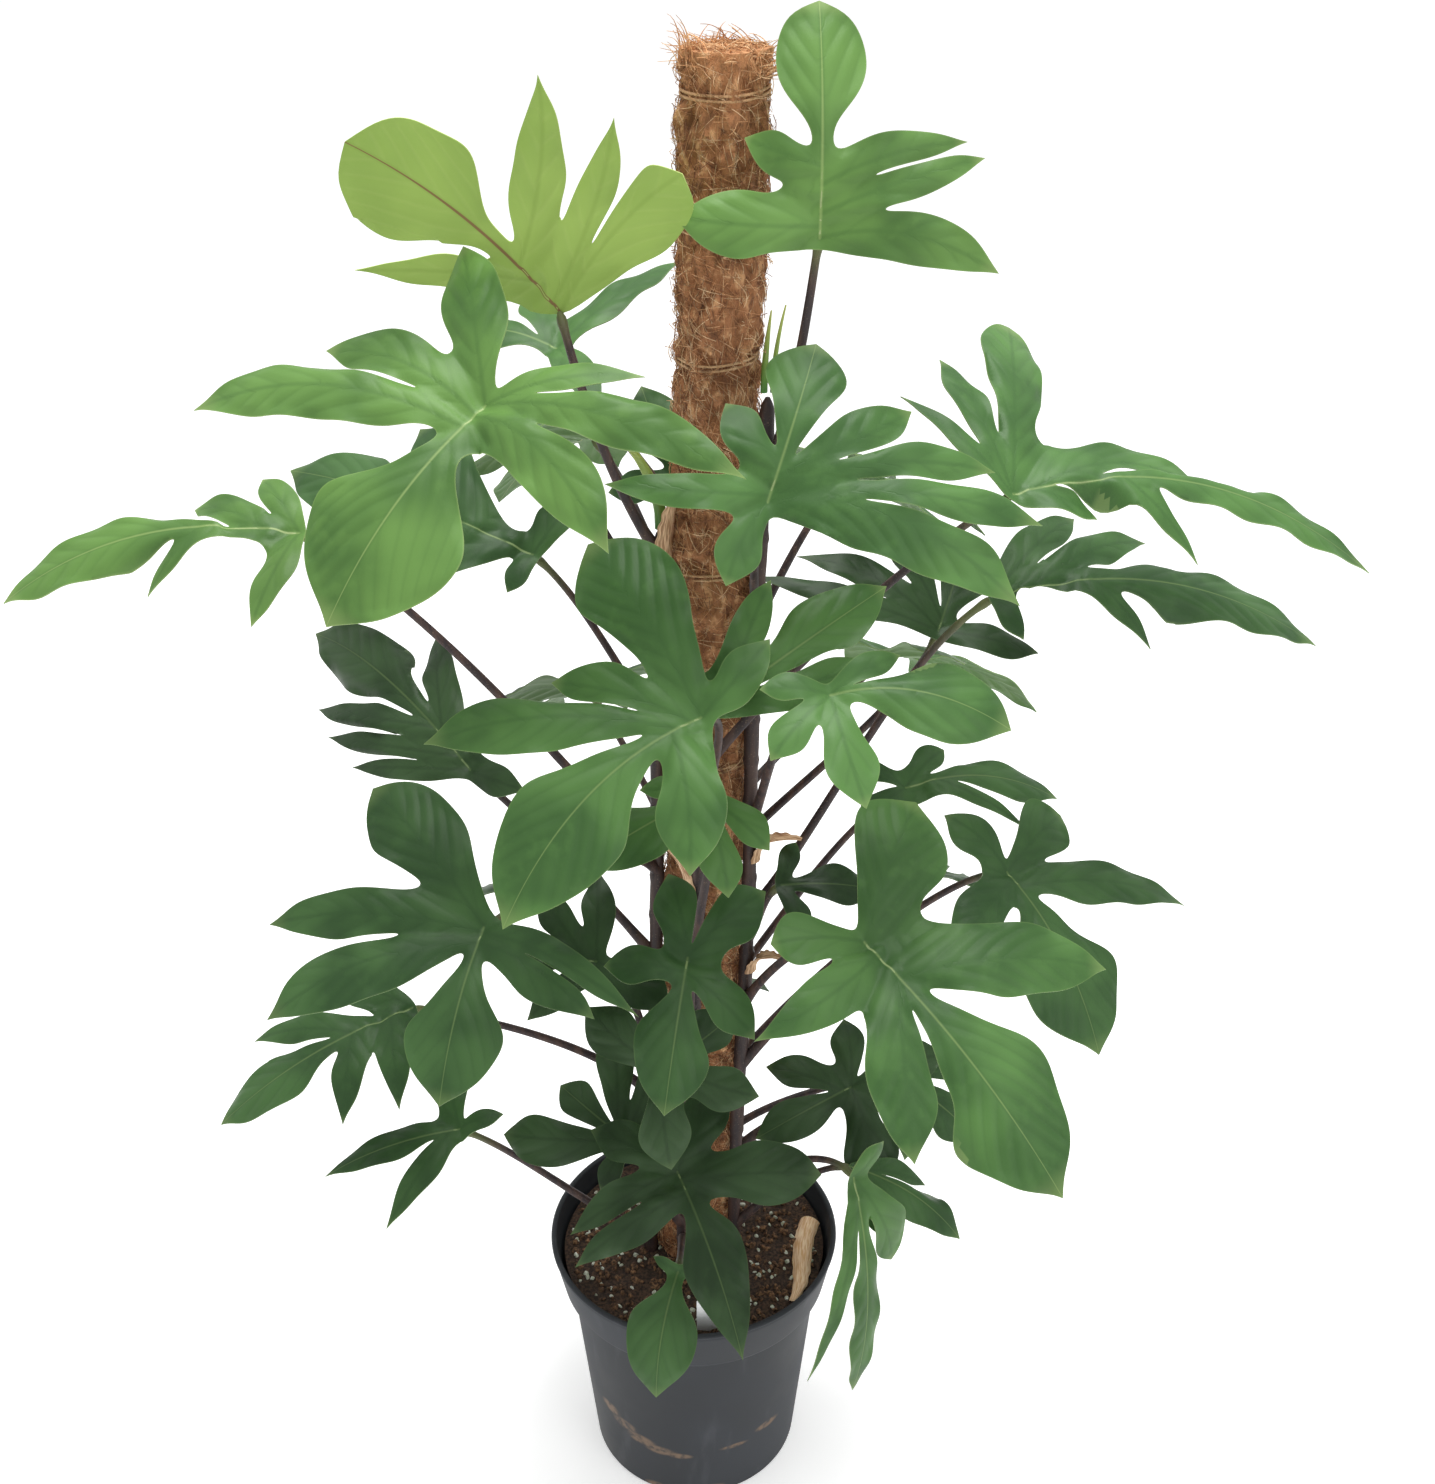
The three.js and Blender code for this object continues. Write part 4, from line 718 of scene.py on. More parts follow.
class Blade:
    """A pedate blade: its ribs, its outline with rounded sinuses, and the way it arches and droops."""

    THICKNESS = 0.7
    ARCH = 0.1
    DROOP = 0.14
    SIDE_WEB = 0.36
    END_WEB = 0.12
    SINUS_NOTCH = 3
    SINUS_PULL = (1.6, 0.45)
    BASE_SINUS = 5
    BASE_BULGE = 2
    NEIGHBOUR_SHARE = 0.45
    LOBE_GAP = 3
    MIDRIB_SHARE = 0.8
    GRID = 2.4
    GRID_ROW = 0.866
    GRID_CLEAR = 0.75
    RIB_CLEAR = 2.2
    WELD = 0.05
    LEAST_AREA = 1e-4
    EASINGS = 9
    EDGE_WAVE = 0.025
    EDGE_WAVE_LENGTH = 9
    VEIN_GAP = 21.0
    VEIN_LEAN = 1.5
    VEIN_BOW = 0.02
    VEIN_WARP = 0.3
    VEIN_WARP_LENGTH = 19
    QUILT = 0.42
    QUILT_START = 9
    TILT = 0.17
    TILT_STEP = 2.1
    ROUNDING = 3
    MARGIN = 7
    RIB_TAPER = 0.7
    CREASE = (0.9, 1.8)
    CHANNEL = (0.4, 2.4)
    KEEL = (0.9, 1.3)
    FLUTE = 1.8
    FLUTE_LENGTH = 7.5
    FLUTE_START = 12
    SHARP = 55

    def __init__(self, name: str, spec: BladeSpec, seed: int) -> None:
        """Sets out the blade's frame and ribs.

        Args:
            name: the blade's name.
            spec: its sizes and place.
            seed: what makes its small waves its own.
        """
        self.name = name
        self.spec = spec
        self.phase = GOLDEN_ANGLE * seed
        side, height = (math.radians(value) for value in spec.face)
        self.base = np.array(spec.base, float)
        self.normal = np.array([math.sin(side) * math.cos(height),
                                -math.cos(side) * math.cos(height), math.sin(height)])
        downhill = unit(np.array([0, 0, -1.0]) + self.normal * self.normal[2])
        level = np.cross(self.normal, downhill)
        turn = math.radians(spec.turn)
        self.along = downhill * math.cos(turn) + level * math.sin(turn)
        self.across = np.cross(self.normal, self.along)
        self.ribs = self.make_ribs()
        tip = spec.tip
        self.spine = Rib(self.midrib, 0, 0, tip.length, tip.half_width, tip.shape, 0)

    @staticmethod
    def chord(root: Array, angle: float, reach: float, bend: float) -> list[Array]:
        """Returns a rib's control points, where it sets out aside from its chord by the bend."""
        turn, aside = math.radians(angle), math.radians(bend)
        control = root + heading(turn + aside) * reach / 2 * math.cos(aside)
        return [root, control, root + heading(turn) * reach]

    def make_ribs(self) -> list[Rib]:
        """Returns the ribs in order round the blade: up one side, over the tip and back down the other."""
        tip, lobes = self.spec.tip, self.spec.lobes
        self.midrib = self.chord(np.zeros(2), 0, tip.length, tip.bend)
        last = max(lobe.start for lobe in lobes)

        def side(sign: int) -> list[Rib]:
            """Returns one side's ribs from the base outwards."""
            own = sorted((lobe for lobe in lobes if math.copysign(1, lobe.angle) == sign),
                         key=lambda lobe: (lobe.start, -abs(lobe.angle)))
            return [self.side_rib(lobe) for lobe in own]

        root = bezier(self.midrib, np.array([last]))[0]
        rest = [root, self.midrib[1] * (1 - last) + self.midrib[2] * last, self.midrib[2]]
        end = Rib(rest, last, 0, tip.length * (1 - last), tip.half_width, tip.shape, self.END_WEB)
        return [*side(-1), end, *side(1)[::-1]]

    def side_rib(self, lobe: Lobe) -> Rib:
        """Returns the rib of a side lobe."""
        root = bezier(self.midrib, np.array([lobe.start]))[0]
        bend = math.copysign(1, lobe.angle) * lobe.bend
        controls = self.chord(root, lobe.angle, lobe.reach, bend)
        return Rib(controls, lobe.start, lobe.angle, lobe.reach, lobe.half_width, lobe.shape,
                   self.SIDE_WEB)

    def edge(self, rib: Rib, neighbour: Rib, sign: int) -> Array:
        """Returns the edge of one side of a lobe, from the web to just short of the tip."""
        count = max(6, round(rib.reach * (1 - rib.web) / self.GRID))
        shares = np.linspace(rib.web, 1, count + 1)[:-1]
        middle = rib.points(shares)
        beside, places, _ = neighbour.nearest(middle)
        room = self.NEIGHBOUR_SHARE * beside
        if rib.angle == 0:
            room = np.maximum(room, beside - neighbour.half_widths(places) - self.LOBE_GAP)
        between = bezier(self.midrib, np.linspace(rib.start, neighbour.start, 9))
        clear = np.linalg.norm(middle[:, None, :] - between[None, :, :], axis=2).min(1)
        widths = np.minimum(np.minimum(rib.half_widths(shares), room), self.MIDRIB_SHARE * clear)
        for _ in range(self.EASINGS):
            widths[1:-1] = widths[1:-1] / 2 + (widths[:-2] + widths[2:]) / 4
        tangents = rib.tangents(shares)
        swing = np.sin(shares * rib.reach / self.EDGE_WAVE_LENGTH + self.phase + sign)
        wave = 1 + self.EDGE_WAVE * swing
        return middle + np.stack([-tangents[:, 1], tangents[:, 0]], 1) * (sign * widths * wave)[:, None]

    def sinus(self, left: Array, right: Array, directions: tuple[Array, Array], wraps: bool) -> Array:
        """Returns the rounded notch between two lobes.

        Args:
            left: where the first lobe's edge stands free.
            right: where the next lobe's edge stands free.
            directions: the two ribs' tangents there.
            wraps: whether this is the notch at the blade's base.

        Returns:
            Points of the notch, without its ends.
        """
        gap = float(np.linalg.norm(left - right))
        if wraps:
            back = heading(math.radians((self.ribs[0].angle + 360 + self.ribs[-1].angle) / 2))
            base, bulge, shares = back * self.BASE_SINUS, back * self.BASE_BULGE, np.linspace(0, 1, 9)
            first = bezier([left, (left + base) / 2 + bulge, base], shares)[1:]
            second = bezier([base, (right + base) / 2 + bulge, right], shares)[1:-1]
            return np.concatenate([first, second])
        least, share = self.SINUS_PULL
        pull = max(least * self.SINUS_NOTCH, share * gap)
        controls = [left, left - directions[0] * pull, right - directions[1] * pull, right]
        count = max(4, round(gap / self.GRID))
        return bezier(controls, np.linspace(0, 1, count + 1))[1:-1]

    def outline(self) -> Array:
        """Returns the blade's outline in its plane, eased everywhere but at the lobes' tips."""
        parts, tips, count = [], [], 0
        total = len(self.ribs)
        for index, rib in enumerate(self.ribs):
            before, after = self.ribs[index - 1], self.ribs[(index + 1) % total]
            right, left = self.edge(rib, before, -1), self.edge(rib, after, 1)
            following = self.edge(after, rib, -1)
            tangents = tuple(own.tangents(np.array([own.web]))[0] for own in (rib, after))
            notch = self.sinus(left[0], following[0], tangents, index == total - 1)
            parts += [right, rib.line[-1:], left[::-1], notch]
            tips.append(count + len(right))
            count += len(right) + 1 + len(left) + len(notch)
        points = np.concatenate(parts)
        held = points[tips]
        for _ in range(self.EASINGS):
            points = points / 2 + (np.roll(points, 1, axis=0) + np.roll(points, -1, axis=0)) / 4
            points[tips] = held
        return points

    def heights(self, points: Array) -> Array:
        """Returns how high the blade's middle layer stands over its plane: arched ribs and drooping web."""
        def arch(share: Array | float) -> Array | float:
            """Returns the midrib's height at a share of its length."""
            return 4 * self.ARCH * self.spec.tip.length * share * (1 - share)

        total, weights, nearest = 0.0, 0.0, np.full(len(points), np.inf)
        for index, rib in enumerate(self.ribs):
            distances, shares, sides = rib.nearest(points)
            if rib.angle == 0:
                own = arch(rib.start + (1 - rib.start) * shares)
            else:
                own = arch(rib.start) * (1 - shares) + 4 * self.ARCH * rib.reach * shares * (1 - shares)
            lean = self.TILT * math.sin(self.TILT_STEP * index + self.phase)
            own = own + lean * distances * sides * smooth(shares * 2.5)
            weight = 1 / (distances**2 + self.ROUNDING**2) ** 2
            total = total + weight * own
            weights = weights + weight
            nearest = np.minimum(nearest, distances)
        fallen = np.sqrt(nearest**2 + self.ROUNDING**2) - self.ROUNDING
        return total / weights - self.DROOP * fallen

    def rib_places(self, points: Array, chosen: Array) -> Array:
        """Returns, for each point, how far along and how far off its chosen rib it lies."""
        places = np.zeros((len(points), 2))
        for index, rib in enumerate(self.ribs):
            mine = chosen == index
            if not mine.any():
                continue
            distances, shares, sides = rib.nearest(points[mine])
            places[mine, 0] = shares * rib.reach
            places[mine, 1] = distances * sides
        return places

    def inner_points(self, outline: Array) -> Array:
        """Returns a triangular grid of points inside the outline, clear of it and of the ribs."""
        low, high = outline.min(0), outline.max(0)
        step = self.GRID
        columns = np.arange(low[0], high[0], step)
        rows = np.arange(low[1], high[1], step * self.GRID_ROW)
        grid = np.array([[x + (j % 2) * step / 2, y] for j, y in enumerate(rows) for x in columns])
        inside = np.zeros(len(grid), bool)
        ends = np.roll(outline, -1, axis=0)
        near = np.full(len(grid), np.inf)
        for (ax, ay), (bx, by) in zip(outline, ends):
            crosses = (ay > grid[:, 1]) != (by > grid[:, 1])
            if ay != by:
                inside ^= crosses & (grid[:, 0] < (bx - ax) * (grid[:, 1] - ay) / (by - ay) + ax)
            near = np.minimum(near, (grid[:, 0] - ax) ** 2 + (grid[:, 1] - ay) ** 2)
        for rib in [*self.ribs, self.spine]:
            near = np.minimum(near, rib.nearest(grid)[0] ** 2 * self.RIB_CLEAR)
        return grid[inside & (near > (self.GRID_CLEAR * step) ** 2)]

    def flat_mesh(self) -> tuple[Array, list[list[int]], Array]:
        """Fills the outline with triangles.

        Returns:
            The points in the plane, the triangles anticlockwise, and each point's distance to the outline.
        """
        outline = self.outline()
        count = len(outline)
        points = [outline]
        edges = [(i, (i + 1) % count) for i in range(count)]
        last = max(rib.start for rib in self.ribs)
        lines = [(rib, 1.0) for rib in self.ribs] + ([(self.spine, last)] if last else [])
        for rib, end in lines:
            steps = max(4, round(rib.reach * end / self.GRID))
            line = rib.points(np.linspace(0, end, steps + 1))[:-1]
            first = sum(len(part) for part in points)
            points.append(line)
            edges += [(first + i, first + i + 1) for i in range(len(line) - 1)]
        points.append(self.inner_points(outline))
        loose = [Vector(point) for point in np.concatenate(points)]
        found, _, faces, *_ = delaunay_2d_cdt(loose, edges, [], 1, self.WELD)
        flat = np.array([[point.x, point.y] for point in found])
        faces = np.array(faces)
        a, b, c = (flat[faces[:, k]] for k in range(3))
        area = (b[:, 0] - a[:, 0]) * (c[:, 1] - a[:, 1]) - (b[:, 1] - a[:, 1]) * (c[:, 0] - a[:, 0])
        faces[area < 0] = faces[area < 0][:, ::-1]
        rim = np.sqrt(((flat[:, None, :] - outline[None, :, :]) ** 2).sum(2).min(1))
        return flat, faces[np.abs(area) > self.LEAST_AREA], rim

    def piece(self) -> bpy.types.Object:
        """Makes the blade: upper face, underside with raised ribs, and the thin margin between them."""
        flat, faces, rim = self.flat_mesh()
        every = np.stack([rib.nearest(flat)[0] for rib in self.ribs])
        own = every.argmin(0)
        places = self.rib_places(flat, own)
        reach = np.array([rib.reach for rib in self.ribs])[own]
        share, off = places[:, 0] / reach, np.abs(places[:, 1])
        inward = smooth(rim / self.MARGIN)
        spine, spine_share, _ = self.spine.nearest(flat)

        def raised(size: tuple[float, float], distances: Array, shares: Array) -> Array:
            """Returns the height of a ridge of a height and width, tapering along its rib."""
            height, width = size
            return height * bell(distances, width) * (1 - self.RIB_TAPER * shares)

        veins = np.cos(2 * np.pi * self.vein_phase(places))
        quilt = self.QUILT * veins * smooth(off / self.QUILT_START) * inward
        channel = np.maximum(raised(self.CREASE, spine, spine_share), raised(self.CHANNEL, off, share))
        flutes = self.FLUTE * np.sin(places[:, 0] / self.FLUTE_LENGTH + self.phase)
        middle = self.heights(flat) + flutes * (1 - inward) * smooth(off / self.FLUTE_START)
        upper = middle + self.THICKNESS / 2 + quilt - channel
        lower = middle - self.THICKNESS / 2 + quilt - raised(self.KEEL, off, share)
        count = len(flat)
        plane = self.base + np.outer(flat[:, 0], self.along) + np.outer(flat[:, 1], self.across)
        points = np.concatenate([plane + np.outer(layer, self.normal) for layer in (upper, lower)])
        walls = [[a, a + count, b + count, b] for a, b in self.boundary(faces)]
        under = (faces + count)[:, ::-1]
        mesh = surface("leaf_" + self.name, points, [*faces.tolist(), *under.tolist(), *walls])
        slots = [0] * len(faces) + [1] * len(faces) + [2] * len(walls)
        mesh.polygons.foreach_set("material_index", slots)
        self.write_marks(mesh, flat, faces, {"rim": rim, "share": share, "spine": spine})
        return smoothed("leaf_" + self.name, mesh, self.SHARP)

    @staticmethod
    def boundary(faces: Array) -> list[tuple[int, int]]:
        """Returns the edges that only one triangle has, in its own direction."""
        edges = {(int(a), int(b)) for face in faces for a, b in zip(face, np.roll(face, -1))}
        return [(a, b) for a, b in sorted(edges) if (b, a) not in edges]

    def vein_phase(self, places: Array) -> Array:
        """Returns how many side veins lie between the rib's root and each place along and off the rib."""
        off = np.abs(places[:, 1])
        swing = np.sin(places[:, 0] / self.VEIN_WARP_LENGTH + self.phase + np.sign(places[:, 1]))
        leant = places[:, 0] - self.VEIN_LEAN * off - self.VEIN_BOW * off**2
        return leant / self.VEIN_GAP + self.VEIN_WARP * swing

    def write_marks(self, mesh: bpy.types.Mesh, flat: Array, faces: Array,
                    marks: dict[str, Array]) -> None:
        """Stores what the leaf finishes read: the marks, and a map of vein phase and distance off the rib.

        Args:
            mesh: the blade's mesh, upper faces first, then the underside's and the margin's.
            flat: the points in the blade's plane.
            faces: the upper face's triangles.
            marks: values for each point, by name.
        """
        for name, values in marks.items():
            write_values(mesh, name, np.tile(values, 2))
        middles = flat[faces].mean(1)
        chosen = np.stack([rib.nearest(middles)[0] for rib in self.ribs]).argmin(0)
        corners = self.rib_places(flat[faces].reshape(-1, 2), np.repeat(chosen, 3))
        chart = np.stack([self.vein_phase(corners), np.abs(corners[:, 1]) / 10], 1)
        under = chart.reshape(-1, 3, 2)[:, ::-1].reshape(-1, 2)
        loops = np.zeros((len(mesh.loops), 2), np.float32)
        loops[: len(chart)] = chart
        loops[len(chart): 2 * len(chart)] = under
        write_chart(mesh, "ribs", loops)


def colour(code: str) -> tuple[float, float, float, float]:
    """Returns the linear colour of a hexadecimal one."""
    parts = [int(code[i: i + 2], 16) / 255 for i in (1, 3, 5)]
    red, green, blue = (c / 12.92 if c <= 0.04045 else ((c + 0.055) / 1.055) ** 2.4 for c in parts)
    return red, green, blue, 1.0


Socket = bpy.types.NodeSocket
Feed = Socket | float | tuple


class NodeMaker:
    """Adds nodes to a tree a step at a time."""

    prefix = ""
    tree: bpy.types.NodeTree

    def add(self, kind: str, inputs: dict[int | str, Feed], output: int | str = 0,
            **settings: object) -> Socket:
        """Adds a node.

        Args:
            kind: the node's type, without the prefix that the tree's nodes share.
            inputs: what each input socket is set to or fed from.
            output: the output to return.
            settings: the node's own settings.

        Returns:
            The output socket.
        """
        node = self.tree.nodes.new(self.prefix + kind)
        for key, value in settings.items():
            setattr(node, key, value)
        for key, value in inputs.items():
            self.feed(node.inputs[key], value)
        return node.outputs[output]

    def feed(self, socket: Socket, value: Feed) -> None:
        """Links an output to a socket, or sets its value."""
        if isinstance(value, Socket):
            self.tree.links.new(value, socket)
        else:
            socket.default_value = value


class ShaderTree(NodeMaker):
    """Builds a material's nodes, with its principled shader ready to feed."""

    prefix = "ShaderNode"

    def __init__(self, name: str) -> None:
        """Starts a material of a name."""
        self.material = bpy.data.materials.new(name)
        self.material.use_nodes = True
        self.tree = self.material.node_tree
        self.shader = self.tree.nodes["Principled BSDF"]

    def dress(self, **inputs: Feed) -> bpy.types.Material:
        """Feeds the shader's sockets, named with underscores for spaces, and returns the material."""
        for key, value in inputs.items():
            self.feed(self.shader.inputs[key.replace("_", " ")], value)
        return self.material

    def math(self, operation: str, first: Feed, second: Feed = 0.0, clamp: bool = False) -> Socket:
        """Returns the result of a sum on one or two values."""
        return self.add("Math", {0: first, 1: second}, operation=operation, use_clamp=clamp)

    def times(self, first: Feed, second: Feed) -> Socket:
        """Returns the product of two values."""
        return self.math("MULTIPLY", first, second)

    def mix(self, share: Feed, first: Feed | str, second: Feed | str) -> Socket:
        """Returns two colours, each a socket or a hexadecimal code, blended by a share."""
        paints = [colour(paint) if isinstance(paint, str) else paint for paint in (first, second)]
        return self.add("Mix", {0: share, 6: paints[0], 7: paints[1]}, 2, data_type="RGBA")

    def coats(self, paint: Feed, *coats: tuple[Socket, float, str]) -> Socket:
        """Returns a colour under coats in turn, each with its mask, its strength and its code."""
        for mask, strength, code in coats:
            paint = self.mix(self.times(mask, strength), paint, code)
        return paint

    def ramp(self, value: Feed, low: float, high: float, to_low: float = 0, to_high: float = 1) -> Socket:
        """Returns a value eased from one range to another."""
        inputs = {0: value, 1: low, 2: high, 3: to_low, 4: to_high}
        return self.add("MapRange", inputs, interpolation_type="SMOOTHSTEP")

    def noise(self, scale: float, detail: float = 3, stretch: Triple = (1, 1, 1),
              vector: Feed | None = None) -> Socket:
        """Returns noise of a scale per metre, by default over the piece's own place."""
        base = self.place() if vector is None else vector
        mapped = self.add("Mapping", {"Vector": base, "Scale": stretch})
        return self.add("TexNoise", {"Vector": mapped, "Scale": scale, "Detail": detail})

    def place(self) -> Socket:
        """Returns the piece's own coordinates."""
        return self.add("TexCoord", {}, "Object")

    def mark(self, name: str = "mark") -> Socket:
        """Returns an attribute that the mesh carries."""
        return self.add("Attribute", {}, "Fac", attribute_name=name)

    def bump(self, height: Feed, strength: float, depth: float) -> Socket:
        """Returns a normal that follows a height, of a depth in millimetres."""
        return self.add("Bump", {"Height": height, "Strength": strength, "Distance": depth * MM})


@dataclass(frozen=True)
class LeafFinish:
    """A leaf's upper face, underside and margin: colours from shaded to lit, and how glossy it is."""

    name: str
    deep: str
    light: str
    rib: str
    under: str
    under_rib: str
    roughness: float = 0.44

    def veins(self, tree: ShaderTree) -> tuple[Socket, Socket, Socket, Socket]:
        """Returns masks of the midrib, the lobes' ribs, and the side veins' grooves and ridges."""
        phase = tree.add("SeparateXYZ", {0: tree.add("UVMap", {}, uv_map="ribs")}, "X")
        off = phase.node.outputs["Y"]
        swing = tree.math("PINGPONG", phase, 0.5)
        width = tree.ramp(tree.mark("share"), 0, 1, 1.3, 0.4)
        midrib = tree.math("SUBTRACT", 1.0, tree.math("DIVIDE", tree.mark("spine"), width), clamp=True)
        rib = tree.ramp(off, 0.02, 0.24, 1, 0)
        groove = tree.times(tree.ramp(swing, 0.3, 0.5), tree.ramp(tree.mark("rim"), 0.5, 6))
        return midrib, rib, groove, tree.ramp(swing, 0.0, 0.4, 1, 0)

    def upper(self) -> bpy.types.Material:
        """Makes the upper face: green patches, pale midrib, sunken veins with painted shade and highlight,
        yellowish tips.
        """
        tree = ShaderTree(self.name + "_upper")
        midrib, rib, groove, ridge = self.veins(tree)
        green = tree.mix(tree.ramp(tree.noise(14, 2), 0.36, 0.66), self.deep, self.light)
        green = tree.mix(tree.ramp(tree.noise(70, 3), 0.5, 0.72, 0, 0.3), green, self.light)
        # Painted highlight on the ridges between veins, painted shade in the vein grooves and along the
        # sunken lobe ribs.
        green = tree.coats(green, (ridge, 0.1, self.light), (groove, 0.16, self.deep),
                           (rib, 0.4, self.deep))
        green = tree.mix(tree.ramp(tree.mark("share"), 0.88, 1.0, 0, 0.35), green, self.rib)
        edge = tree.ramp(tree.mark("rim"), 0.9, 0.2)
        green = tree.coats(green, (midrib, 0.42, self.rib), (edge, 0.15, self.rib))
        rough = tree.math("ADD", tree.times(tree.noise(60, 3), 0.16), self.roughness - 0.08)
        height = tree.math("SUBTRACT", tree.times(tree.noise(900, 4), 0.3), tree.times(groove, 0.6))
        return tree.dress(Base_Color=green, Roughness=rough, Normal=tree.bump(height, 0.4, 0.35),
                          Specular_IOR_Level=0.22)

    def underside(self) -> bpy.types.Material:
        """Makes the underside: paler and duller, with its ribs standing out, darkened by painted shade."""
        tree = ShaderTree(self.name + "_under")
        midrib, rib, groove, _ = self.veins(tree)
        green = tree.mix(tree.ramp(tree.noise(18, 2), 0.35, 0.7), self.under, self.light)
        # Pale lines along the vein grooves, and painted shade along the lobe ribs.
        green = tree.coats(green, (groove, 0.06, self.rib), (rib, 0.3, self.deep))
        green = tree.mix(tree.math("MULTIPLY", midrib, 2.4, clamp=True), green, self.under_rib)
        normal = tree.bump(tree.math("ADD", groove, tree.times(tree.noise(700, 3), 0.3)), 0.5, 0.3)
        return tree.dress(Base_Color=green, Roughness=0.55, Normal=normal, Specular_IOR_Level=0.2)

    def margin(self) -> bpy.types.Material:
        """Makes the thin pale margin."""
        tree = ShaderTree(self.name + "_margin")
        green = tree.mix(tree.noise(120), self.light, self.rib)
        return tree.dress(Base_Color=green, Roughness=0.5)


# Painted light and shade: darker copies for shaded leaves, lighter fresh and lime copies partly for lit
# ones.
LEAF_FINISHES = {
    LIME: LeafFinish("leaf_lime", "#748e3c", "#94b057", "#bcc97f", "#8aa651", "#7d6240", 0.4),
    FRESH: LeafFinish("leaf_fresh", "#436531", "#5f8442", "#a2b673", "#6f8a55", "#96a873"),
    MID: LeafFinish("leaf_mid", "#38592d", "#50763d", "#8fa566", "#5f7d4c", "#879a68"),
    DEEP: LeafFinish("leaf_deep", "#2e4a28", "#426336", "#7d945b", "#526d43", "#7b8f5e"),
    DARK: LeafFinish("leaf_dark", "#22361d", "#364e2e", "#637949", "#405536", "#6c7e55"),
}


@dataclass(frozen=True)
class BarkFinish:
    """The stems' and leaf stalks' skin: dark purple-brown, greener towards the blades."""

    name: str = "stalk_bark"
    dark: str = "#2b1f21"
    warm: str = "#4c3730"
    green: str = "#66713f"
    speck: str = "#8c7560"

    def material(self) -> bpy.types.Material:
        """Makes the bark, streaked lengthwise and finely specked."""
        tree = ShaderTree(self.name)
        streaks = tree.noise(160, 4, (1, 1, 0.12))
        skin = tree.mix(tree.ramp(streaks, 0.38, 0.68), self.dark, self.warm)
        fresh = tree.times(tree.ramp(tree.mark(), 0.55, 1.0), 0.85)
        skin = tree.mix(fresh, skin, self.green)
        specks = tree.ramp(tree.noise(700, 2), 0.62, 0.72)
        skin = tree.mix(tree.times(specks, 0.35), skin, self.speck)
        normal = tree.bump(tree.math("ADD", streaks, tree.times(specks, 0.4)), 0.6, 0.5)
        return tree.dress(Base_Color=skin, Roughness=0.6, Normal=normal)


@dataclass(frozen=True)
class SpearFinish:
    """A rolled new leaf: green at its foot, yellow-green at its tip."""

    name: str = "spear"
    foot: str = "#4f8a3c"
    tip: str = "#b3b95a"
    streak: str = "#2f5f2c"

    def material(self) -> bpy.types.Material:
        """Makes the spear's skin."""
        tree = ShaderTree(self.name)
        streaks = tree.noise(260, 3, (1, 1, 0.1))
        green = tree.mix(tree.mark(), self.foot, self.tip)
        green = tree.mix(tree.times(streaks, 0.4), green, self.streak)
        return tree.dress(Base_Color=green, Roughness=0.42, Normal=tree.bump(streaks, 0.4, 0.3))


@dataclass(frozen=True)
class SheathFinish:
    """A dry sheath: papery, tan, with brown streaks along it."""

    name: str
    tan: str
    brown: str

    def material(self) -> bpy.types.Material:
        """Makes the dry sheath from its strip's own map."""
        tree = ShaderTree(self.name)
        strip = tree.add("UVMap", {}, uv_map="strip")
        streaks = tree.noise(9, 5, (1, 0.09, 1), strip)
        blotch = tree.noise(1.1, 2, (1, 0.5, 1), strip)
        dry = tree.mix(tree.ramp(streaks, 0.36, 0.66), self.brown, self.tan)
        dry = tree.mix(tree.ramp(blotch, 0.5, 0.75, 0, 0.6), dry, self.brown)
        normal = tree.bump(streaks, 0.8, 0.6)
        return tree.dress(Base_Color=dry, Roughness=0.78, Normal=normal)


@dataclass(frozen=True)
class CoirFinish:
    """Coir fibre: brown, each strand its own shade, tan where it is frayed."""

    name: str
    dark: str
    warm: str
    pale: str
    pit_shade: str = "#5a3924"
    top_pale: str = "#d99f66"
    top_pale_heights: tuple[float, float] = (1.11, 1.175)

    def material(self) -> bpy.types.Material:
        """Makes the fibre from each strand's own mark, with painted shade in its pits, painted highlight on
        its raised tufts, and paler near the top.
        """
        tree = ShaderTree(self.name)
        patch = tree.noise(26, 3)
        mark = tree.mark()
        fibre = tree.mix(tree.ramp(mark, 0.0, 0.75), self.dark, self.warm)
        fibre = tree.mix(tree.ramp(mark, 0.7, 1.0, 0, 0.85), fibre, self.pale)
        fibre = tree.mix(tree.ramp(patch, 0.5, 0.72, 0, 0.35), fibre, self.dark)
        height = tree.add("SeparateXYZ", {0: tree.place()}, "Z")
        pits = tree.noise(150, 4, (1, 1, 0.7))
        # Painted shade in the pits between fibres; where the same noise stands raised, pale fibre with
        # painted highlight.
        fibre = tree.mix(tree.ramp(pits, 0.46, 0.32, 0, 0.6), fibre, self.pit_shade)
        fibre = tree.mix(tree.ramp(pits, 0.52, 0.68, 0, 0.8), fibre, self.pale)
        # Paler towards the pole's top.
        fibre = tree.mix(tree.ramp(height, *self.top_pale_heights, 0, 0.25), fibre, self.top_pale)
        normal = tree.bump(tree.math("ADD", tree.noise(900, 4, (1, 1, 0.4)), pits), 1.0, 2.0)
        return tree.dress(Base_Color=fibre, Roughness=0.85, Normal=normal)


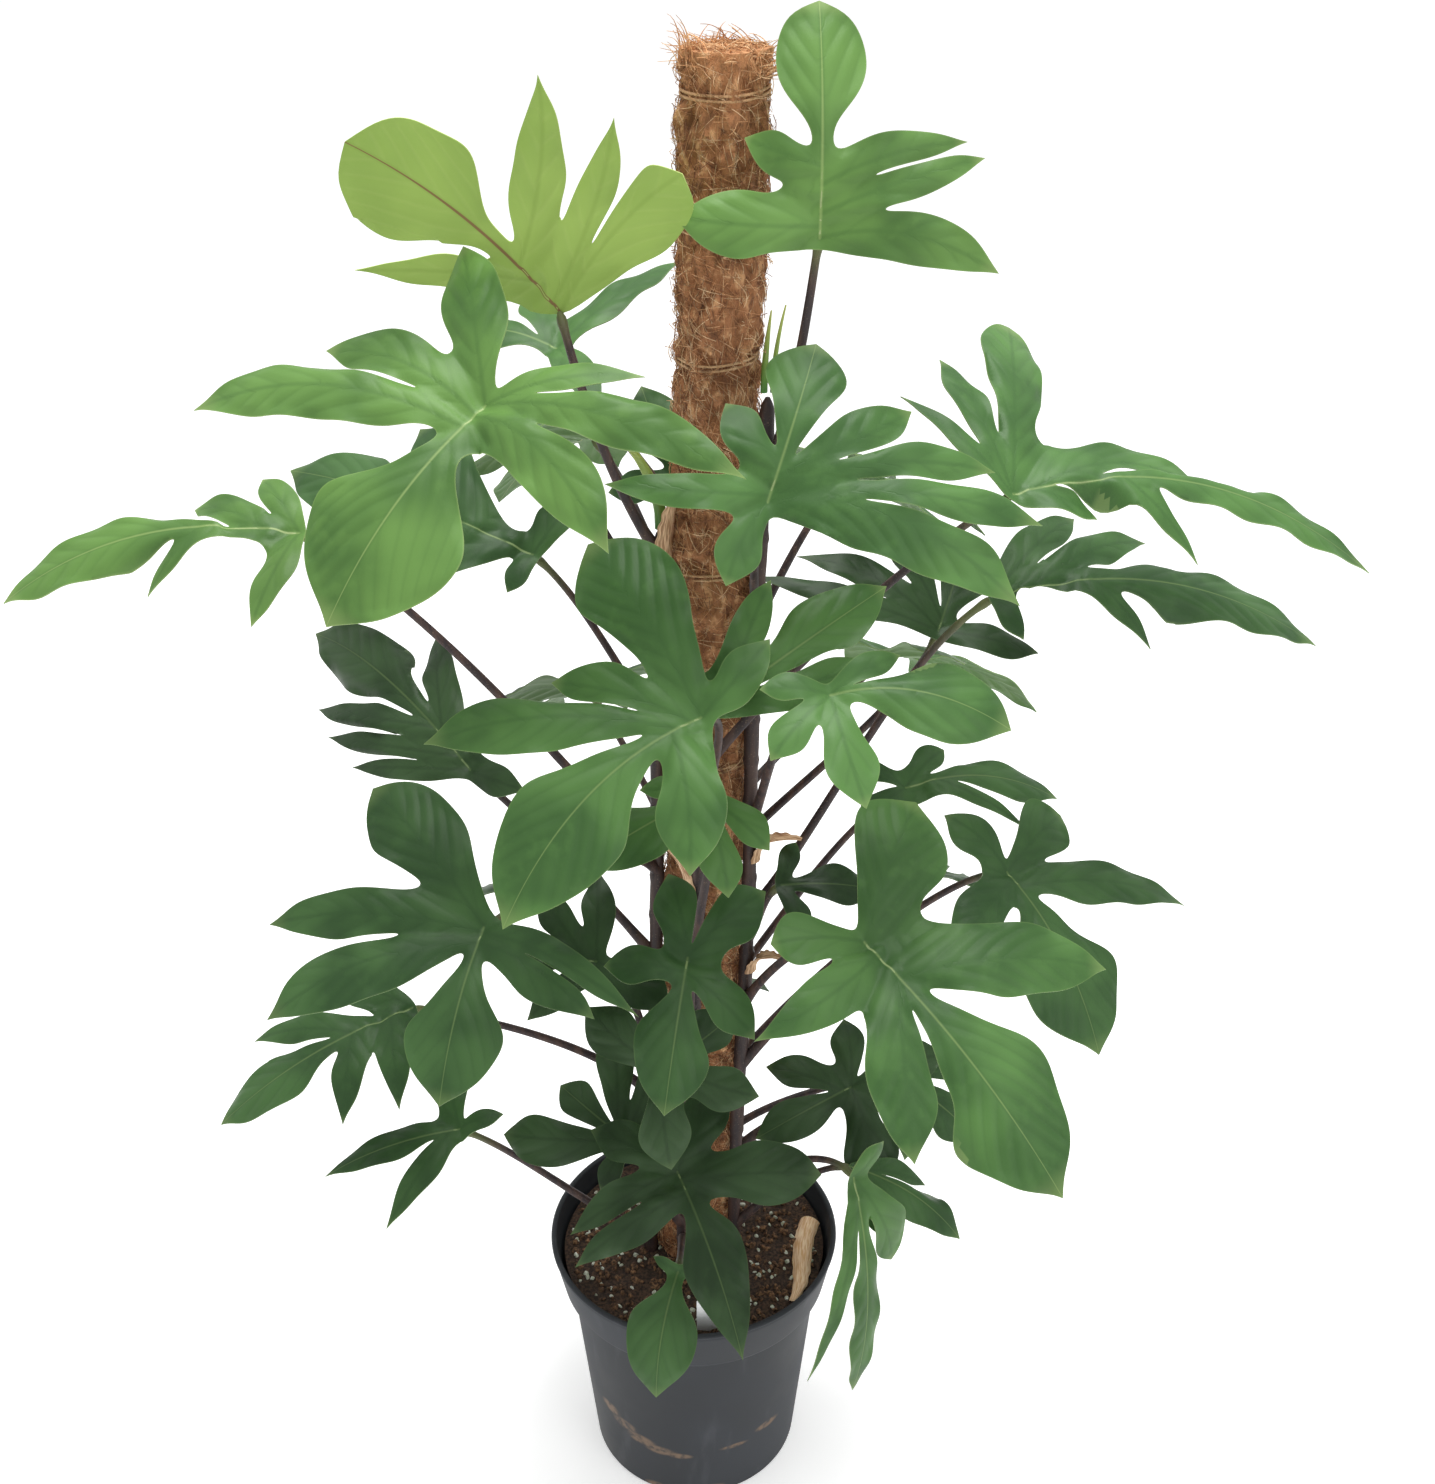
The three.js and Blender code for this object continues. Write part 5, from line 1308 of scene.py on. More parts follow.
@dataclass(frozen=True)
class PotFinish:
    """The nursery pot's matt dark plastic: dusty, scuffed, with dried soil near its foot."""

    name: str = "pot_plastic"
    plastic: str = "#1f2226"
    dust: str = "#3c3f44"
    scuff: str = "#54565b"
    dirt: str = "#77624f"
    smears: tuple[tuple[Triple, Triple], ...] = (
        ((-72, -64, 82), (13, 14, 7)), ((-60, -74, 73), (15, 14, 7)), ((-46, -82, 64), (16, 14, 7)),
        ((-30, -89, 58), (17, 12, 6)), ((-12, -93, 55), (12, 12, 4)), ((34, -86, 62), (14, 12, 3)),
        ((62, -70, 70), (14, 14, 5)), ((-33, -84, 4), (13, 13, 7)), ((14, -88, 10), (14, 13, 4)),
    )

    def material(self) -> bpy.types.Material:
        """Makes the plastic with its dust and smears."""
        tree = ShaderTree(self.name)
        cloud = tree.noise(9, 4)
        rub = tree.noise(40, 5, (1, 1, 0.25))
        skin = tree.mix(tree.ramp(cloud, 0.35, 0.7, 0.1, 0.8), self.plastic, self.dust)
        skin = tree.mix(tree.ramp(rub, 0.58, 0.75, 0, 0.35), skin, self.scuff)
        blot = tree.ramp(tree.noise(130, 5), 0.34, 0.6, 0.15, 1)
        for centre, size in self.smears:
            smear = self.smear(tree, centre, size)
            skin = tree.mix(tree.times(smear, blot), skin, self.dirt)
        rough = tree.ramp(cloud, 0.3, 0.7, 0.5, 0.72)
        normal = tree.bump(tree.noise(1200, 3), 0.25, 0.15)
        return tree.dress(Base_Color=skin, Roughness=rough, Normal=normal, Specular_IOR_Level=0.3)

    def smear(self, tree: ShaderTree, centre: Triple, size: Triple) -> Socket:
        """Returns the mask of a smear of dried soil, from its centre and its half sizes."""
        middle = tuple(value * MM for value in centre)
        scale = tuple(1 / (value * MM) for value in size)
        offset = tree.add("VectorMath", {0: tree.place(), 1: middle}, operation="SUBTRACT")
        stretched = tree.add("VectorMath", {0: offset, 1: scale}, operation="MULTIPLY")
        reach = tree.add("VectorMath", {0: stretched}, "Value", operation="LENGTH")
        return tree.ramp(reach, 0.5, 1.1, 0.9, 0)


@dataclass(frozen=True)
class EarthFinish:
    """Potting soil or what lies in it, in two shades."""

    name: str
    dark: str
    light: str
    roughness: float = 0.92

    def material(self) -> bpy.types.Material:
        """Makes the grains, mottled at two sizes."""
        tree = ShaderTree(self.name)
        grain = tree.noise(420, 5)
        earth = tree.mix(tree.ramp(grain, 0.35, 0.7), self.dark, self.light)
        earth = tree.mix(tree.ramp(tree.noise(60, 2), 0.4, 0.7, 0, 0.5), earth, self.dark)
        normal = tree.bump(grain, 1.0, 1.2)
        return tree.dress(Base_Color=earth, Roughness=self.roughness, Normal=normal)


@dataclass(frozen=True)
class WoodFinish:
    """The pole's inner stake: rough pale timber, grained upwards."""

    name: str = "stake_wood"
    dark: str = "#7b5a3c"
    light: str = "#b48d62"

    def material(self) -> bpy.types.Material:
        """Makes the timber."""
        tree = ShaderTree(self.name)
        grain = tree.noise(120, 5, (1, 1, 0.05))
        wood = tree.mix(grain, self.dark, self.light)
        return tree.dress(Base_Color=wood, Roughness=0.8, Normal=tree.bump(grain, 0.6, 0.5))


@dataclass(frozen=True)
class LabelFinish:
    """The plant label's white plastic, a little soiled at its foot."""

    name: str = "label_plastic"
    white: str = "#eceded"
    shade: str = "#dfe1e2"
    soil: str = "#7a6858"
    soiled_heights: tuple[float, float] = (0.235, 0.205)

    def material(self) -> bpy.types.Material:
        """Makes the plastic."""
        tree = ShaderTree(self.name)
        height = tree.add("SeparateXYZ", {0: tree.place()}, "Z")
        soiled = tree.times(tree.ramp(height, *self.soiled_heights), tree.noise(200, 3))
        white = tree.mix(tree.noise(30), self.white, self.shade)
        white = tree.mix(soiled, white, self.soil)
        return tree.dress(Base_Color=white, Roughness=0.35, Normal=tree.bump(tree.noise(500), 0.1, 0.1))


@dataclass
class Foliage:
    """All the leaf blades, each a piece of its own."""

    specs: dict[str, BladeSpec]

    def build(self) -> None:
        """Makes every blade and dresses it by its leaf's tone."""
        dressed = {tone: (finish.upper(), finish.underside(), finish.margin())
                   for tone, finish in LEAF_FINISHES.items()}
        for seed, (name, spec) in enumerate(self.specs.items()):
            slot = "lime_leaf" if spec.tone is LIME else "leaf"
            seat(Blade(name, spec, seed).piece(), slot, "blade_" + name, *dressed[spec.tone])


@dataclass
class Stems:
    """The four climbing stems, each with the stalks of its leaves."""

    sides: int = 12
    radius: float = STEM_RADIUS
    waist: float = 0.7
    waviness: float = 0.3
    wave_rise: float = 11
    top_shares: tuple[float, ...] = (0.96, 0.85, 0.62, 0.3)
    foot: float = 140
    step: float = 3.0
    node_gap: float = 34
    node_swell: tuple[float, float] = (0.9, 2.2)
    stalk_root: float = 4.2
    stalk_tip: float = 2.4
    stalk_spread: float = 0.55
    stalk_pulls: tuple[float, float] = (0.35, 0.25)
    stalk_step: float = 5
    clasp: tuple[float, float] = (0.9, 22)
    knuckle: tuple[float, float, float] = (0.8, 7, 9)
    seat_depth: float = 1.7

    def build(self) -> None:
        """Makes each stem with its stalks as one piece."""
        bark = BarkFinish().material()
        for name, stem in STEMS.items():
            shell = Shell()
            self.add_stem(shell, stem)
            for seed, (blade, spec) in enumerate(BLADES.items()):
                if spec.stalk.stem == name:
                    self.add_stalk(shell, Blade(blade, spec, seed), seed)
            seat(shell.piece("climber_" + name, sharp=60), "stalk", name, bark)

    def add_stem(self, shell: Shell, stem: StemSpec) -> None:
        """Adds a stem, swollen into rings where old leaves grew."""
        levels = np.arange(self.foot, stem.top, self.step)
        path = np.array([stem_place(stem, z) for z in levels])
        nearest = np.abs((levels / self.node_gap) % 1 - 0.5) * self.node_gap
        swell, spread = self.node_swell
        wave = self.waviness * np.sin(levels / self.wave_rise + stem.side)
        radii = self.radius - self.waist + swell * bell(nearest, spread) + wave
        radii[-len(self.top_shares):] *= np.array(self.top_shares)
        shell.add_tube(path, radii, self.sides)

    def stalk_path(self, blade: Blade, count: int) -> Array:
        """Returns points along a leaf stalk, from its stem's middle to the blade's underside."""
        stalk = blade.spec.stalk
        root = stem_place(STEMS[stalk.stem], stalk.level)
        reach = float(np.linalg.norm(blade.base - root))
        arrival = blade.along * 0.5 + blade.normal * 0.87
        end = blade.base + blade.normal * (blade.heights(np.zeros((1, 2)))[0] - self.seat_depth)
        outward = (blade.base - root) * [1, 1, 0]
        rise = unit(outward) * self.stalk_spread + np.array([0, 0, stalk.lift])
        first, last = self.stalk_pulls
        controls = [root, root + rise * reach * first, end - arrival * reach * last, end]
        return bezier(controls, np.linspace(0, 1, count))

    def add_stalk(self, shell: Shell, blade: Blade, seed: int) -> None:
        """Adds a leaf stalk: stout where it clasps the stem, with a knuckle just under the blade."""
        stalk = blade.spec.stalk
        reach = np.linalg.norm(blade.base - stem_place(STEMS[stalk.stem], stalk.level))
        count = max(24, round(reach / self.stalk_step))
        share = np.linspace(0, 1, count)
        clasp, clasp_reach = self.clasp
        knuckle, knuckle_reach, knuckle_place = self.knuckle
        radii = self.stalk_root + (self.stalk_tip - self.stalk_root) * np.sqrt(share)
        radii = radii + knuckle * bell((1 - share) * reach - knuckle_place, knuckle_reach)
        radii = radii + clasp * bell(share * reach, clasp_reach)
        radii[-1] *= 0.7
        green = 0.12 * math.sin(seed) ** 2 + 0.88 * share**2
        shell.add_tube(self.stalk_path(blade, count), radii, self.sides, green)


@dataclass
class Spears:
    """The rolled new leaves on the stems' tops."""

    sides: int = 20
    steps: int = 48
    tip_radius: float = 0.5
    seam_turn: float = 2.6
    seam_depth: float = 0.22
    seam_width: float = 0.28

    def build(self) -> None:
        """Makes each spear, with the seam of its roll winding up it."""
        skin = SpearFinish().material()
        for name, spec in SPEARS.items():
            stem = STEMS[spec.stem]
            foot = stem_place(stem, stem.top) + [spec.aside, 0, SEAT_GAP]
            end = np.array(spec.tip, float)
            control = np.array([foot[0], foot[1], (foot[2] + end[2]) / 2])
            share = np.linspace(0, 1, self.steps)
            path = bezier([foot, control, end], share)
            radii = spec.radius * (1 - share**2) + self.tip_radius * share**2
            points, faces = tube(path, radii, self.sides)
            angles = np.tile(full_turn(self.sides), self.steps)
            seam = np.repeat(share * self.seam_turn, self.sides)
            turned = (angles - seam + np.pi) % (2 * np.pi) - np.pi
            middle = np.repeat(path, self.sides, axis=0)
            sunk = 1 - self.seam_depth * bell(turned, self.seam_width)
            points = middle + (points - middle) * sunk[:, None]
            shell = Shell()
            shell.add(points, faces, np.repeat(share, self.sides))
            seat(shell.piece("rolled_" + name), "lime_leaf", name, skin)


@dataclass
class Sheaths:
    """The dry papery sheaths, on the stems and on the soil."""

    rows: int = 44
    columns: int = 14
    thickness: float = 0.5
    spans: tuple[float, float] = (66, 30)
    fallen_path: tuple[tuple[float, float], ...] = ((100, 22), (92, -10), (89, -42), (81, -72))
    fallen_width: float = 17
    fallen_spans: tuple[float, float] = (60, 60)
    fallen_lift: float = 7
    fallen_seed: int = 9
    narrowing: float = 0.7
    fray: float = 0.1
    fray_step: float = 0.9
    ripple: float = 0.5
    ripple_steps: tuple[float, float] = (5, 0.23)
    sharp: float = 50

    def build(self) -> None:
        """Makes each sheath."""
        stem_dry = SheathFinish("sheath_dry", "#ecc8a2", "#a67c5a").material()
        # Painted light: the fallen sheath gets a lighter copy of the dry colours, brightening it where it
        # lies in shadow on the soil.
        fallen_lit_copy = SheathFinish("sheath_fallen_lit", "#ffe2c0", "#e0b080").material()
        for seed, (name, spec) in enumerate(SHEATHS.items()):
            outward = compass(spec.side, 1, 0)
            radius = spec.width / 2 / math.sin(math.radians(self.spans[0]))
            start = stem_place(STEMS[spec.stem], spec.foot) + outward * radius
            out, up = spec.tip
            control = start + [0, 0, 0.6 * math.hypot(out, up)]
            end = start + outward * out + [0, 0, up]
            path = bezier([start, control, end], np.linspace(0, 1, self.rows))
            piece = self.strip("dry_" + name, path, outward, spec.width, self.spans, seed)
            seat(piece, "sheath", name, stem_dry)
        upward = np.array([0, 0, 1.0])
        piece = self.strip("dry_sheath_fallen", self.fallen_line(), upward, self.fallen_width,
                           self.fallen_spans, self.fallen_seed)
        seat(piece, "sheath", "sheath_fallen", fallen_lit_copy)

    def fallen_line(self) -> Array:
        """Returns the line along the fallen sheath's back."""
        corners = np.array(self.fallen_path, float)
        shares = np.linspace(0, 1, self.rows)
        places = np.linspace(0, 1, len(corners))
        fits = [np.polyval(np.polyfit(places, corners[:, k], 3), shares) for k in range(2)]
        return np.stack([*fits, np.full(self.rows, SOIL_LEVEL + self.fallen_lift)], 1)

    def strip(self, name: str, path: Array, outward: Array, width: float, spans: tuple[float, float],
              seed: int) -> bpy.types.Object:
        """Makes a curled strip with frayed, wavy edges.

        Args:
            name: the piece's name.
            path: the line along the middle of its outer face.
            outward: the way that its outer face looks.
            width: its width at its foot.
            spans: half the angle that it curls through, at its foot and tip.
            seed: what makes its waves its own.

        Returns:
            The strip's object.
        """
        along = unit(np.gradient(path, axis=0))
        up = unit(outward - along * (along @ outward)[:, None])
        across = np.cross(up, along)
        share = np.linspace(0, 1, self.rows)
        span = np.radians(spans[0] + (spans[1] - spans[0]) * share)
        radius = width * (1 - self.narrowing * share**3) / 2 / np.sin(span)
        places = np.linspace(1, -1, self.columns)
        wide, high = self.ripple_steps
        layers = []
        for depth in (0.0, self.thickness):
            rows = []
            for row in range(self.rows):
                torn = np.sin(row * self.fray_step + seed + places) * np.abs(places) * (0.3 + share[row])
                angle = places * span[row] * (1 + self.fray * torn)
                ripple = self.ripple * share[row] * np.sin(places * wide + seed + row * high)
                reach = radius[row] - depth + ripple
                side = np.outer(np.sin(angle) * reach, across[row])
                rows.append(path[row] + side + np.outer(np.cos(angle) * reach - radius[row], up[row]))
            layers.append(np.array(rows))
        return self.close(name, layers[0], layers[1], width)

    def close(self, name: str, outer: Array, inner: Array, width: float) -> bpy.types.Object:
        """Joins two layers into a closed strip, with a map across and along it in centimetres."""
        rows, columns = outer.shape[:2]
        count = rows * columns
        points = np.concatenate([outer.reshape(-1, 3), inner.reshape(-1, 3)])
        faces = []
        for row in range(rows - 1):
            for column in range(columns - 1):
                a = row * columns + column
                faces.append([a, a + 1, a + 1 + columns, a + columns])
                faces.append([a + count, a + columns + count, a + 1 + columns + count, a + 1 + count])
        rim = list(range(columns))
        rim += [row * columns + columns - 1 for row in range(1, rows)]
        rim += [(rows - 1) * columns + column for column in range(columns - 2, -1, -1)]
        rim += [row * columns for row in range(rows - 2, 0, -1)]
        for a, b in zip(rim, rim[1:] + rim[:1]):
            faces.append([b, a, a + count, b + count])
        mesh = surface(name, points, faces)
        length = np.linalg.norm(np.diff(outer[:, columns // 2], axis=0), axis=1).sum()
        index = np.zeros(len(mesh.loops), int)
        mesh.loops.foreach_get("vertex_index", index)
        place = index % count
        chart = np.stack([place % columns / columns * width, place // columns / rows * length], 1) / 10
        write_chart(mesh, "strip", chart)
        return smoothed(name, mesh, self.sharp)


@dataclass
class PlantLabel:
    """The bare white plant label, pushed into the soil."""

    width: float = 21
    thickness: float = 1
    length: float = 92
    top: Triple = (14, -104, 254)
    lean: float = 9
    corner: float = 2.5
    point_length: float = 14
    point_half: float = 4
    layers: tuple[tuple[float, float], ...] = ((-0.5, 0.25), (-0.3, 0), (0.3, 0), (0.5, 0.25))

    def build(self) -> None:
        """Makes the label: a thin plate with rounded top corners and softened edges."""
        half, corner = self.width / 2, self.corner
        arc = np.linspace(0, math.pi / 2, 7)
        right = np.stack([half - corner + corner * np.cos(arc), -corner + corner * np.sin(arc)], 1)
        left = right[::-1] * [-1, 1]
        foot, shoulder, tip = -self.length, -self.length + self.point_length, self.point_half
        point = np.array([[-half, shoulder], [-tip, foot], [tip, foot], [half, shoulder]])
        ring = np.concatenate([right, left, point])
        cosine, sine = heading(math.radians(self.lean))
        rings = []
        for depth, inset in self.layers:
            x, z = (ring * (1 - inset / half)).T
            y = np.full(len(ring), depth * self.thickness)
            leant = [x, y * cosine - z * sine, y * sine + z * cosine]
            rings.append(np.stack(leant, 1) + self.top)
        shell = Shell()
        shell.add_rings(rings)
        seat(shell.piece("plant_label", sharp=40), "label", "label", LabelFinish().material())


class NodeTree(NodeMaker):
    """Builds a geometry-nodes tree, gives it its inputs and turns its result into a plain mesh."""

    def __init__(self, name: str, inputs: dict[str, tuple[str, object]]) -> None:
        """Starts a tree with a geometry input and output.

        Args:
            name: the tree's name.
            inputs: each named input's socket type and value.
        """
        self.tree = bpy.data.node_groups.new(name, "GeometryNodeTree")
        face = self.tree.interface
        face.new_socket(name="Geometry", in_out="INPUT", socket_type="NodeSocketGeometry")
        face.new_socket(name="Geometry", in_out="OUTPUT", socket_type="NodeSocketGeometry")
        self.values = {}
        for key, (kind, value) in inputs.items():
            socket = face.new_socket(name=key, in_out="INPUT", socket_type="NodeSocket" + kind)
            self.values[socket.identifier] = value
        self.start = self.tree.nodes.new("NodeGroupInput")
        self.end = self.tree.nodes.new("NodeGroupOutput")

    def scatter(self) -> Socket:
        """Returns points strewn over the given geometry, as densely as is given."""
        return self.add("GeometryNodeDistributePointsOnFaces", {
            "Mesh": self.given("Geometry"), "Density": self.given("Density"), "Seed": self.given("Seed"),
        })

    def times(self, first: Feed, second: float) -> Socket:
        """Returns the product of two values."""
        return self.add("ShaderNodeMath", {0: first, 1: second}, operation="MULTIPLY")

    def sized(self, low: Triple, high: Triple, seed: int) -> Socket:
        """Returns a random vector for each point, between two."""
        return self.add("FunctionNodeRandomValue", {0: low, 1: high, "Seed": seed},
                        data_type="FLOAT_VECTOR")

    def turned(self, euler: Socket) -> Socket:
        """Returns the rotation that three angles make."""
        return self.add("FunctionNodeEulerToRotation", {0: euler})

    def given(self, name: str) -> Socket:
        """Returns one of the tree's inputs."""
        return self.start.outputs[name]

    def finish(self, geometry: Socket) -> None:
        """Ends the tree: instances made real, and the given material on them."""
        real = self.add("GeometryNodeRealizeInstances", {0: geometry})
        dressed = self.add("GeometryNodeSetMaterial", {"Geometry": real, "Material": self.given("Finish")})
        self.tree.links.new(dressed, self.end.inputs[0])

    def result(self, name: str, host: bpy.types.Mesh) -> bpy.types.Object:
        """Runs the tree on a mesh and returns what it makes as a plain object.

        Args:
            name: the new object's name.
            host: the mesh that the tree works from.

        Returns:
            The object, linked to the scene, with no modifier.
        """
        carrier = link(name + "_host", host)
        modifier = carrier.modifiers.new("tree", "NODES")
        modifier.node_group = self.tree
        for identifier, value in self.values.items():
            modifier[identifier] = value
        mesh = worked_out(carrier)
        bpy.data.objects.remove(carrier)
        mesh.name = name
        mesh.shade_smooth()
        return link(name, mesh)


@dataclass(frozen=True)
class Strands:
    """A coat of strands: how many to a square metre, their sizes, spin in degrees, lift and seed.

    Their ends are sunk into the surface, and they fall one way but for the spin.
    """

    density: float
    length: float
    radius: float
    spin: float
    lift: float
    seed: int
    ends: tuple[float, float] = (-0.8, -0.4)
    fall: Triple = (0.8, 0.0, -1.0)
    least: Triple = (0.5, 0.7, 0.2)
    most: Triple = (1.35, 1.3, 1.6)


@dataclass(frozen=True)
class Grains:
    """A layer of grains: how many to a square metre, their radius, height to width, and seed."""

    density: float
    size: float
    flat: float
    seed: int
    least: float = 0.45
    most: tuple[float, float] = (1.5, 1.3)


def strand_tree(name: str, finish: bpy.types.Material, strands: Strands) -> NodeTree:
    """Makes the tree that lays short bent strands over a surface.

    Args:
        name: the tree's name.
        finish: the strands' material.
        strands: their number and sizes.

    Returns:
        The finished tree.
    """
    nodes = NodeTree(name, {
        "Density": ("Float", strands.density), "Length": ("Float", strands.length * MM),
        "Radius": ("Float", strands.radius * MM), "Spin": ("Float", math.radians(strands.spin)),
        "Lift": ("Float", strands.lift * MM), "Seed": ("Int", strands.seed), "Finish": ("Material", finish),
    })
    points = nodes.scatter()
    normal = points.node.outputs["Normal"]
    half = nodes.times(nodes.given("Length"), 0.5)
    start_depth, end_depth = (depth * MM for depth in strands.ends)
    first = nodes.add("ShaderNodeCombineXYZ", {0: nodes.times(half, -1.0), 2: start_depth})
    last = nodes.add("ShaderNodeCombineXYZ", {0: half, 2: end_depth})
    middle = nodes.add("ShaderNodeCombineXYZ", {2: nodes.given("Lift")})
    curve = nodes.add("GeometryNodeCurveQuadraticBezier",
                      {"Resolution": 4, "Start": first, "Middle": middle, "End": last})
    profile = nodes.add("GeometryNodeCurvePrimitiveCircle",
                        {"Resolution": 3, "Radius": nodes.given("Radius")})
    strand = nodes.add("GeometryNodeCurveToMesh",
                       {"Curve": curve, "Profile Curve": profile, "Fill Caps": True})
    stand = nodes.add("FunctionNodeAlignRotationToVector", {"Vector": normal}, axis="Z")
    level = nodes.add("FunctionNodeAlignRotationToVector",
                      {"Rotation": stand, "Vector": strands.fall}, axis="X", pivot_axis="Z")
    spin = nodes.given("Spin")
    turn = nodes.add("FunctionNodeRandomValue",
                     {2: nodes.times(spin, -1.0), 3: spin, "Seed": nodes.given("Seed")}, 1)
    aside = nodes.turned(nodes.add("ShaderNodeCombineXYZ", {2: turn}))
    turned = nodes.add("FunctionNodeRotateRotation", {0: level, 1: aside}, rotation_space="LOCAL")
    size = nodes.sized(strands.least, strands.most, strands.seed + 3)
    placed = nodes.add("GeometryNodeInstanceOnPoints",
                       {"Points": points, "Instance": strand, "Rotation": turned, "Scale": size})
    shade = nodes.add("FunctionNodeRandomValue", {2: 0.0, 3: 1.0, "Seed": strands.seed + 5}, 1)
    marked = nodes.add("GeometryNodeStoreNamedAttribute",
                       {"Geometry": placed, "Name": "mark", "Value": shade}, domain="INSTANCE")
    nodes.finish(marked)
    return nodes


def grain_tree(name: str, finish: bpy.types.Material, grains: Grains) -> NodeTree:
    """Makes the tree that strews rough grains over a surface.

    Args:
        name: the tree's name.
        finish: the grains' material.
        grains: their number and sizes.

    Returns:
        The finished tree.
    """
    nodes = NodeTree(name, {
        "Density": ("Float", grains.density), "Size": ("Float", grains.size * MM),
        "Seed": ("Int", grains.seed), "Finish": ("Material", finish),
    })
    points = nodes.scatter()
    ball = nodes.add("GeometryNodeMeshIcoSphere", {"Radius": nodes.given("Size"), "Subdivisions": 2})
    rough = nodes.add("ShaderNodeTexNoise", {"Scale": 420.0, "Detail": 1.0}, 1)
    centred = nodes.add("ShaderNodeVectorMath", {0: rough, 1: (0.5, 0.5, 0.5)}, operation="SUBTRACT")
    pushed = nodes.add("ShaderNodeVectorMath", {0: centred, 3: nodes.given("Size")}, operation="SCALE")
    grain = nodes.add("GeometryNodeSetPosition", {"Geometry": ball, "Offset": pushed})
    spin = nodes.turned(nodes.sized((0, 0, 0), (FULL_SPIN,) * 3, grains.seed + 1))
    least, (long, wide) = grains.least, grains.most
    scale = nodes.sized((least, least, least * grains.flat), (long, wide, wide * grains.flat),
                        grains.seed + 2)
    placed = nodes.add("GeometryNodeInstanceOnPoints",
                       {"Points": points, "Instance": grain, "Rotation": spin, "Scale": scale})
    nodes.finish(placed)
    return nodes


@dataclass
class CoirPole:
    """The leaning pole: a matted coir sleeve, its loose fibres, and the twine that binds it."""

    sides: int = 72
    step: float = 3.5
    twine_radius: float = 0.9
    twine_pitch: float = 6
    twine_sway: float = 1.5
    lumps: float = 5.4
    coat: Strands = Strands(38500, 19, 0.24, 60, 2.4, 11)
    coat_span: tuple[float, float] = (COIR_FOOT + 90, POLE_TOP - 6)
    stray: Strands = Strands(17000, 16, 0.22, 170, 5.5, 12)
    stray_span: tuple[float, float] = (COIR_FOOT + 100, POLE_TOP - 4)
    crown_strands: int = 260
    crown_radius: float = 26
    crown_seed: int = 5
    tuft_strands: int = 14
    tufts: tuple[tuple[Triple, Triple], ...] = (
        ((-22, -14, 1166), (-9, -3, 20)), ((24, -12, 1158), (20, -6, 5)),
    )

    def build(self) -> None:
        """Makes the sleeve, two coats of fibre, the frayed crown and the twine."""
        matted = CoirFinish("coir_matted", "#865838", "#cf8f5f", "#e8b482").material()
        loose = CoirFinish("coir_loose", "#865538", "#daa06e", "#f8d8ac").material()
        tied = CoirFinish("twine", "#a07a56", "#cfa67a", "#e2be94").material()
        seat(self.sleeve(), "coir", "pole_coir", matted)
        for name, strands, span in (
            ("coir_coat", self.coat, self.coat_span), ("coir_stray", self.stray, self.stray_span),
        ):
            tree = strand_tree(name, loose, strands)
            seat(tree.result(name, self.coat_host(*span)), "coir", "pole_coir")
        seat(self.crown(), "coir", "pole_coir", loose)
        seat(self.twine(), "coir", "pole_coir", tied)
        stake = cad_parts["pole_stake"].data.materials
        stake.clear()
        stake.append(WoodFinish().material())

    def ring(self, z: float, extra: float, fuzz: float) -> Array:
        """Returns a ring of the sleeve's surface, stood off by an amount and roughened."""
        points = []
        for i in range(self.sides):
            angle = 2 * math.pi * i / self.sides
            radius = coir_surface(angle, z) + extra
            place = Vector((math.cos(angle) * 3, math.sin(angle) * 3, z / 12))
            radius += fuzz * noise.noise(place) + 0.5 * fuzz * noise.noise(place * 3.1)
            points.append([pole_shift(z) + radius * math.cos(angle), radius * math.sin(angle), z])
        return np.array(points)

    def sleeve(self) -> bpy.types.Object:
        """Makes the matted sleeve."""
        levels = np.arange(COIR_FOOT, POLE_TOP - 1, self.step)
        rings = [self.ring(z, -0.6, self.lumps if z > SOIL_LEVEL + 6 else 0.3) for z in levels]
        rings.append(self.ring(POLE_TOP - 2, -3.5, 1.5))
        shell = Shell()
        shell.add_rings(rings, 0.35)
        return shell.piece("coir_sleeve", sharp=60)

    def coat_host(self, low: float, high: float) -> bpy.types.Mesh:
        """Returns an open sleeve that strands are laid on, between two heights."""
        levels = np.arange(low, high, 8.0)
        rings = [self.ring(z, 0.0, 0.8 * self.lumps) for z in levels]
        rings += [self.ring(POLE_TOP - 1.5, inset, 0) for inset in (-6, -14, -23)]
        return surface("coat_host", np.concatenate(rings), rings_faces(len(rings), self.sides)[:-2])

    def crown(self) -> bpy.types.Object:
        """Makes the frayed strands that stand round the pole's top."""
        shell = Shell()
        rng = np.random.default_rng(self.crown_seed)
        starts = []
        for _ in range(self.crown_strands):
            angle = rng.uniform(0, 2 * math.pi)
            radius = math.sqrt(rng.uniform(0.02, 1.0)) * self.crown_radius
            foot = np.array([*heading(angle) * radius, POLE_TOP - rng.uniform(2, 12)])
            aside, rise = rng.uniform(-18, 18, 2), rng.uniform(1, 14) * rng.uniform(0.3, 1)
            starts.append((foot, np.array([*aside, rise])))
        for place, reach in self.tufts:
            for _ in range(self.tuft_strands):
                foot = np.array(place) + rng.uniform(-5, 5, 3)
                starts.append((foot, np.array(reach) * rng.uniform(0.5, 1.2) + rng.uniform(-4, 4, 3)))
        for foot, reach in starts:
            foot = foot + [pole_shift(foot[2]), 0, 0]
            control = foot + reach * [0.2, 0.2, 0.8] + rng.uniform(-2, 2, 3)
            path = bezier([foot, control, foot + reach], np.linspace(0, 1, 7))
            shell.add_tube(path, np.linspace(0.5, 0.15, 7), 4, rng.uniform(0.4, 1))
        return shell.piece("coir_crown", sharp=80)

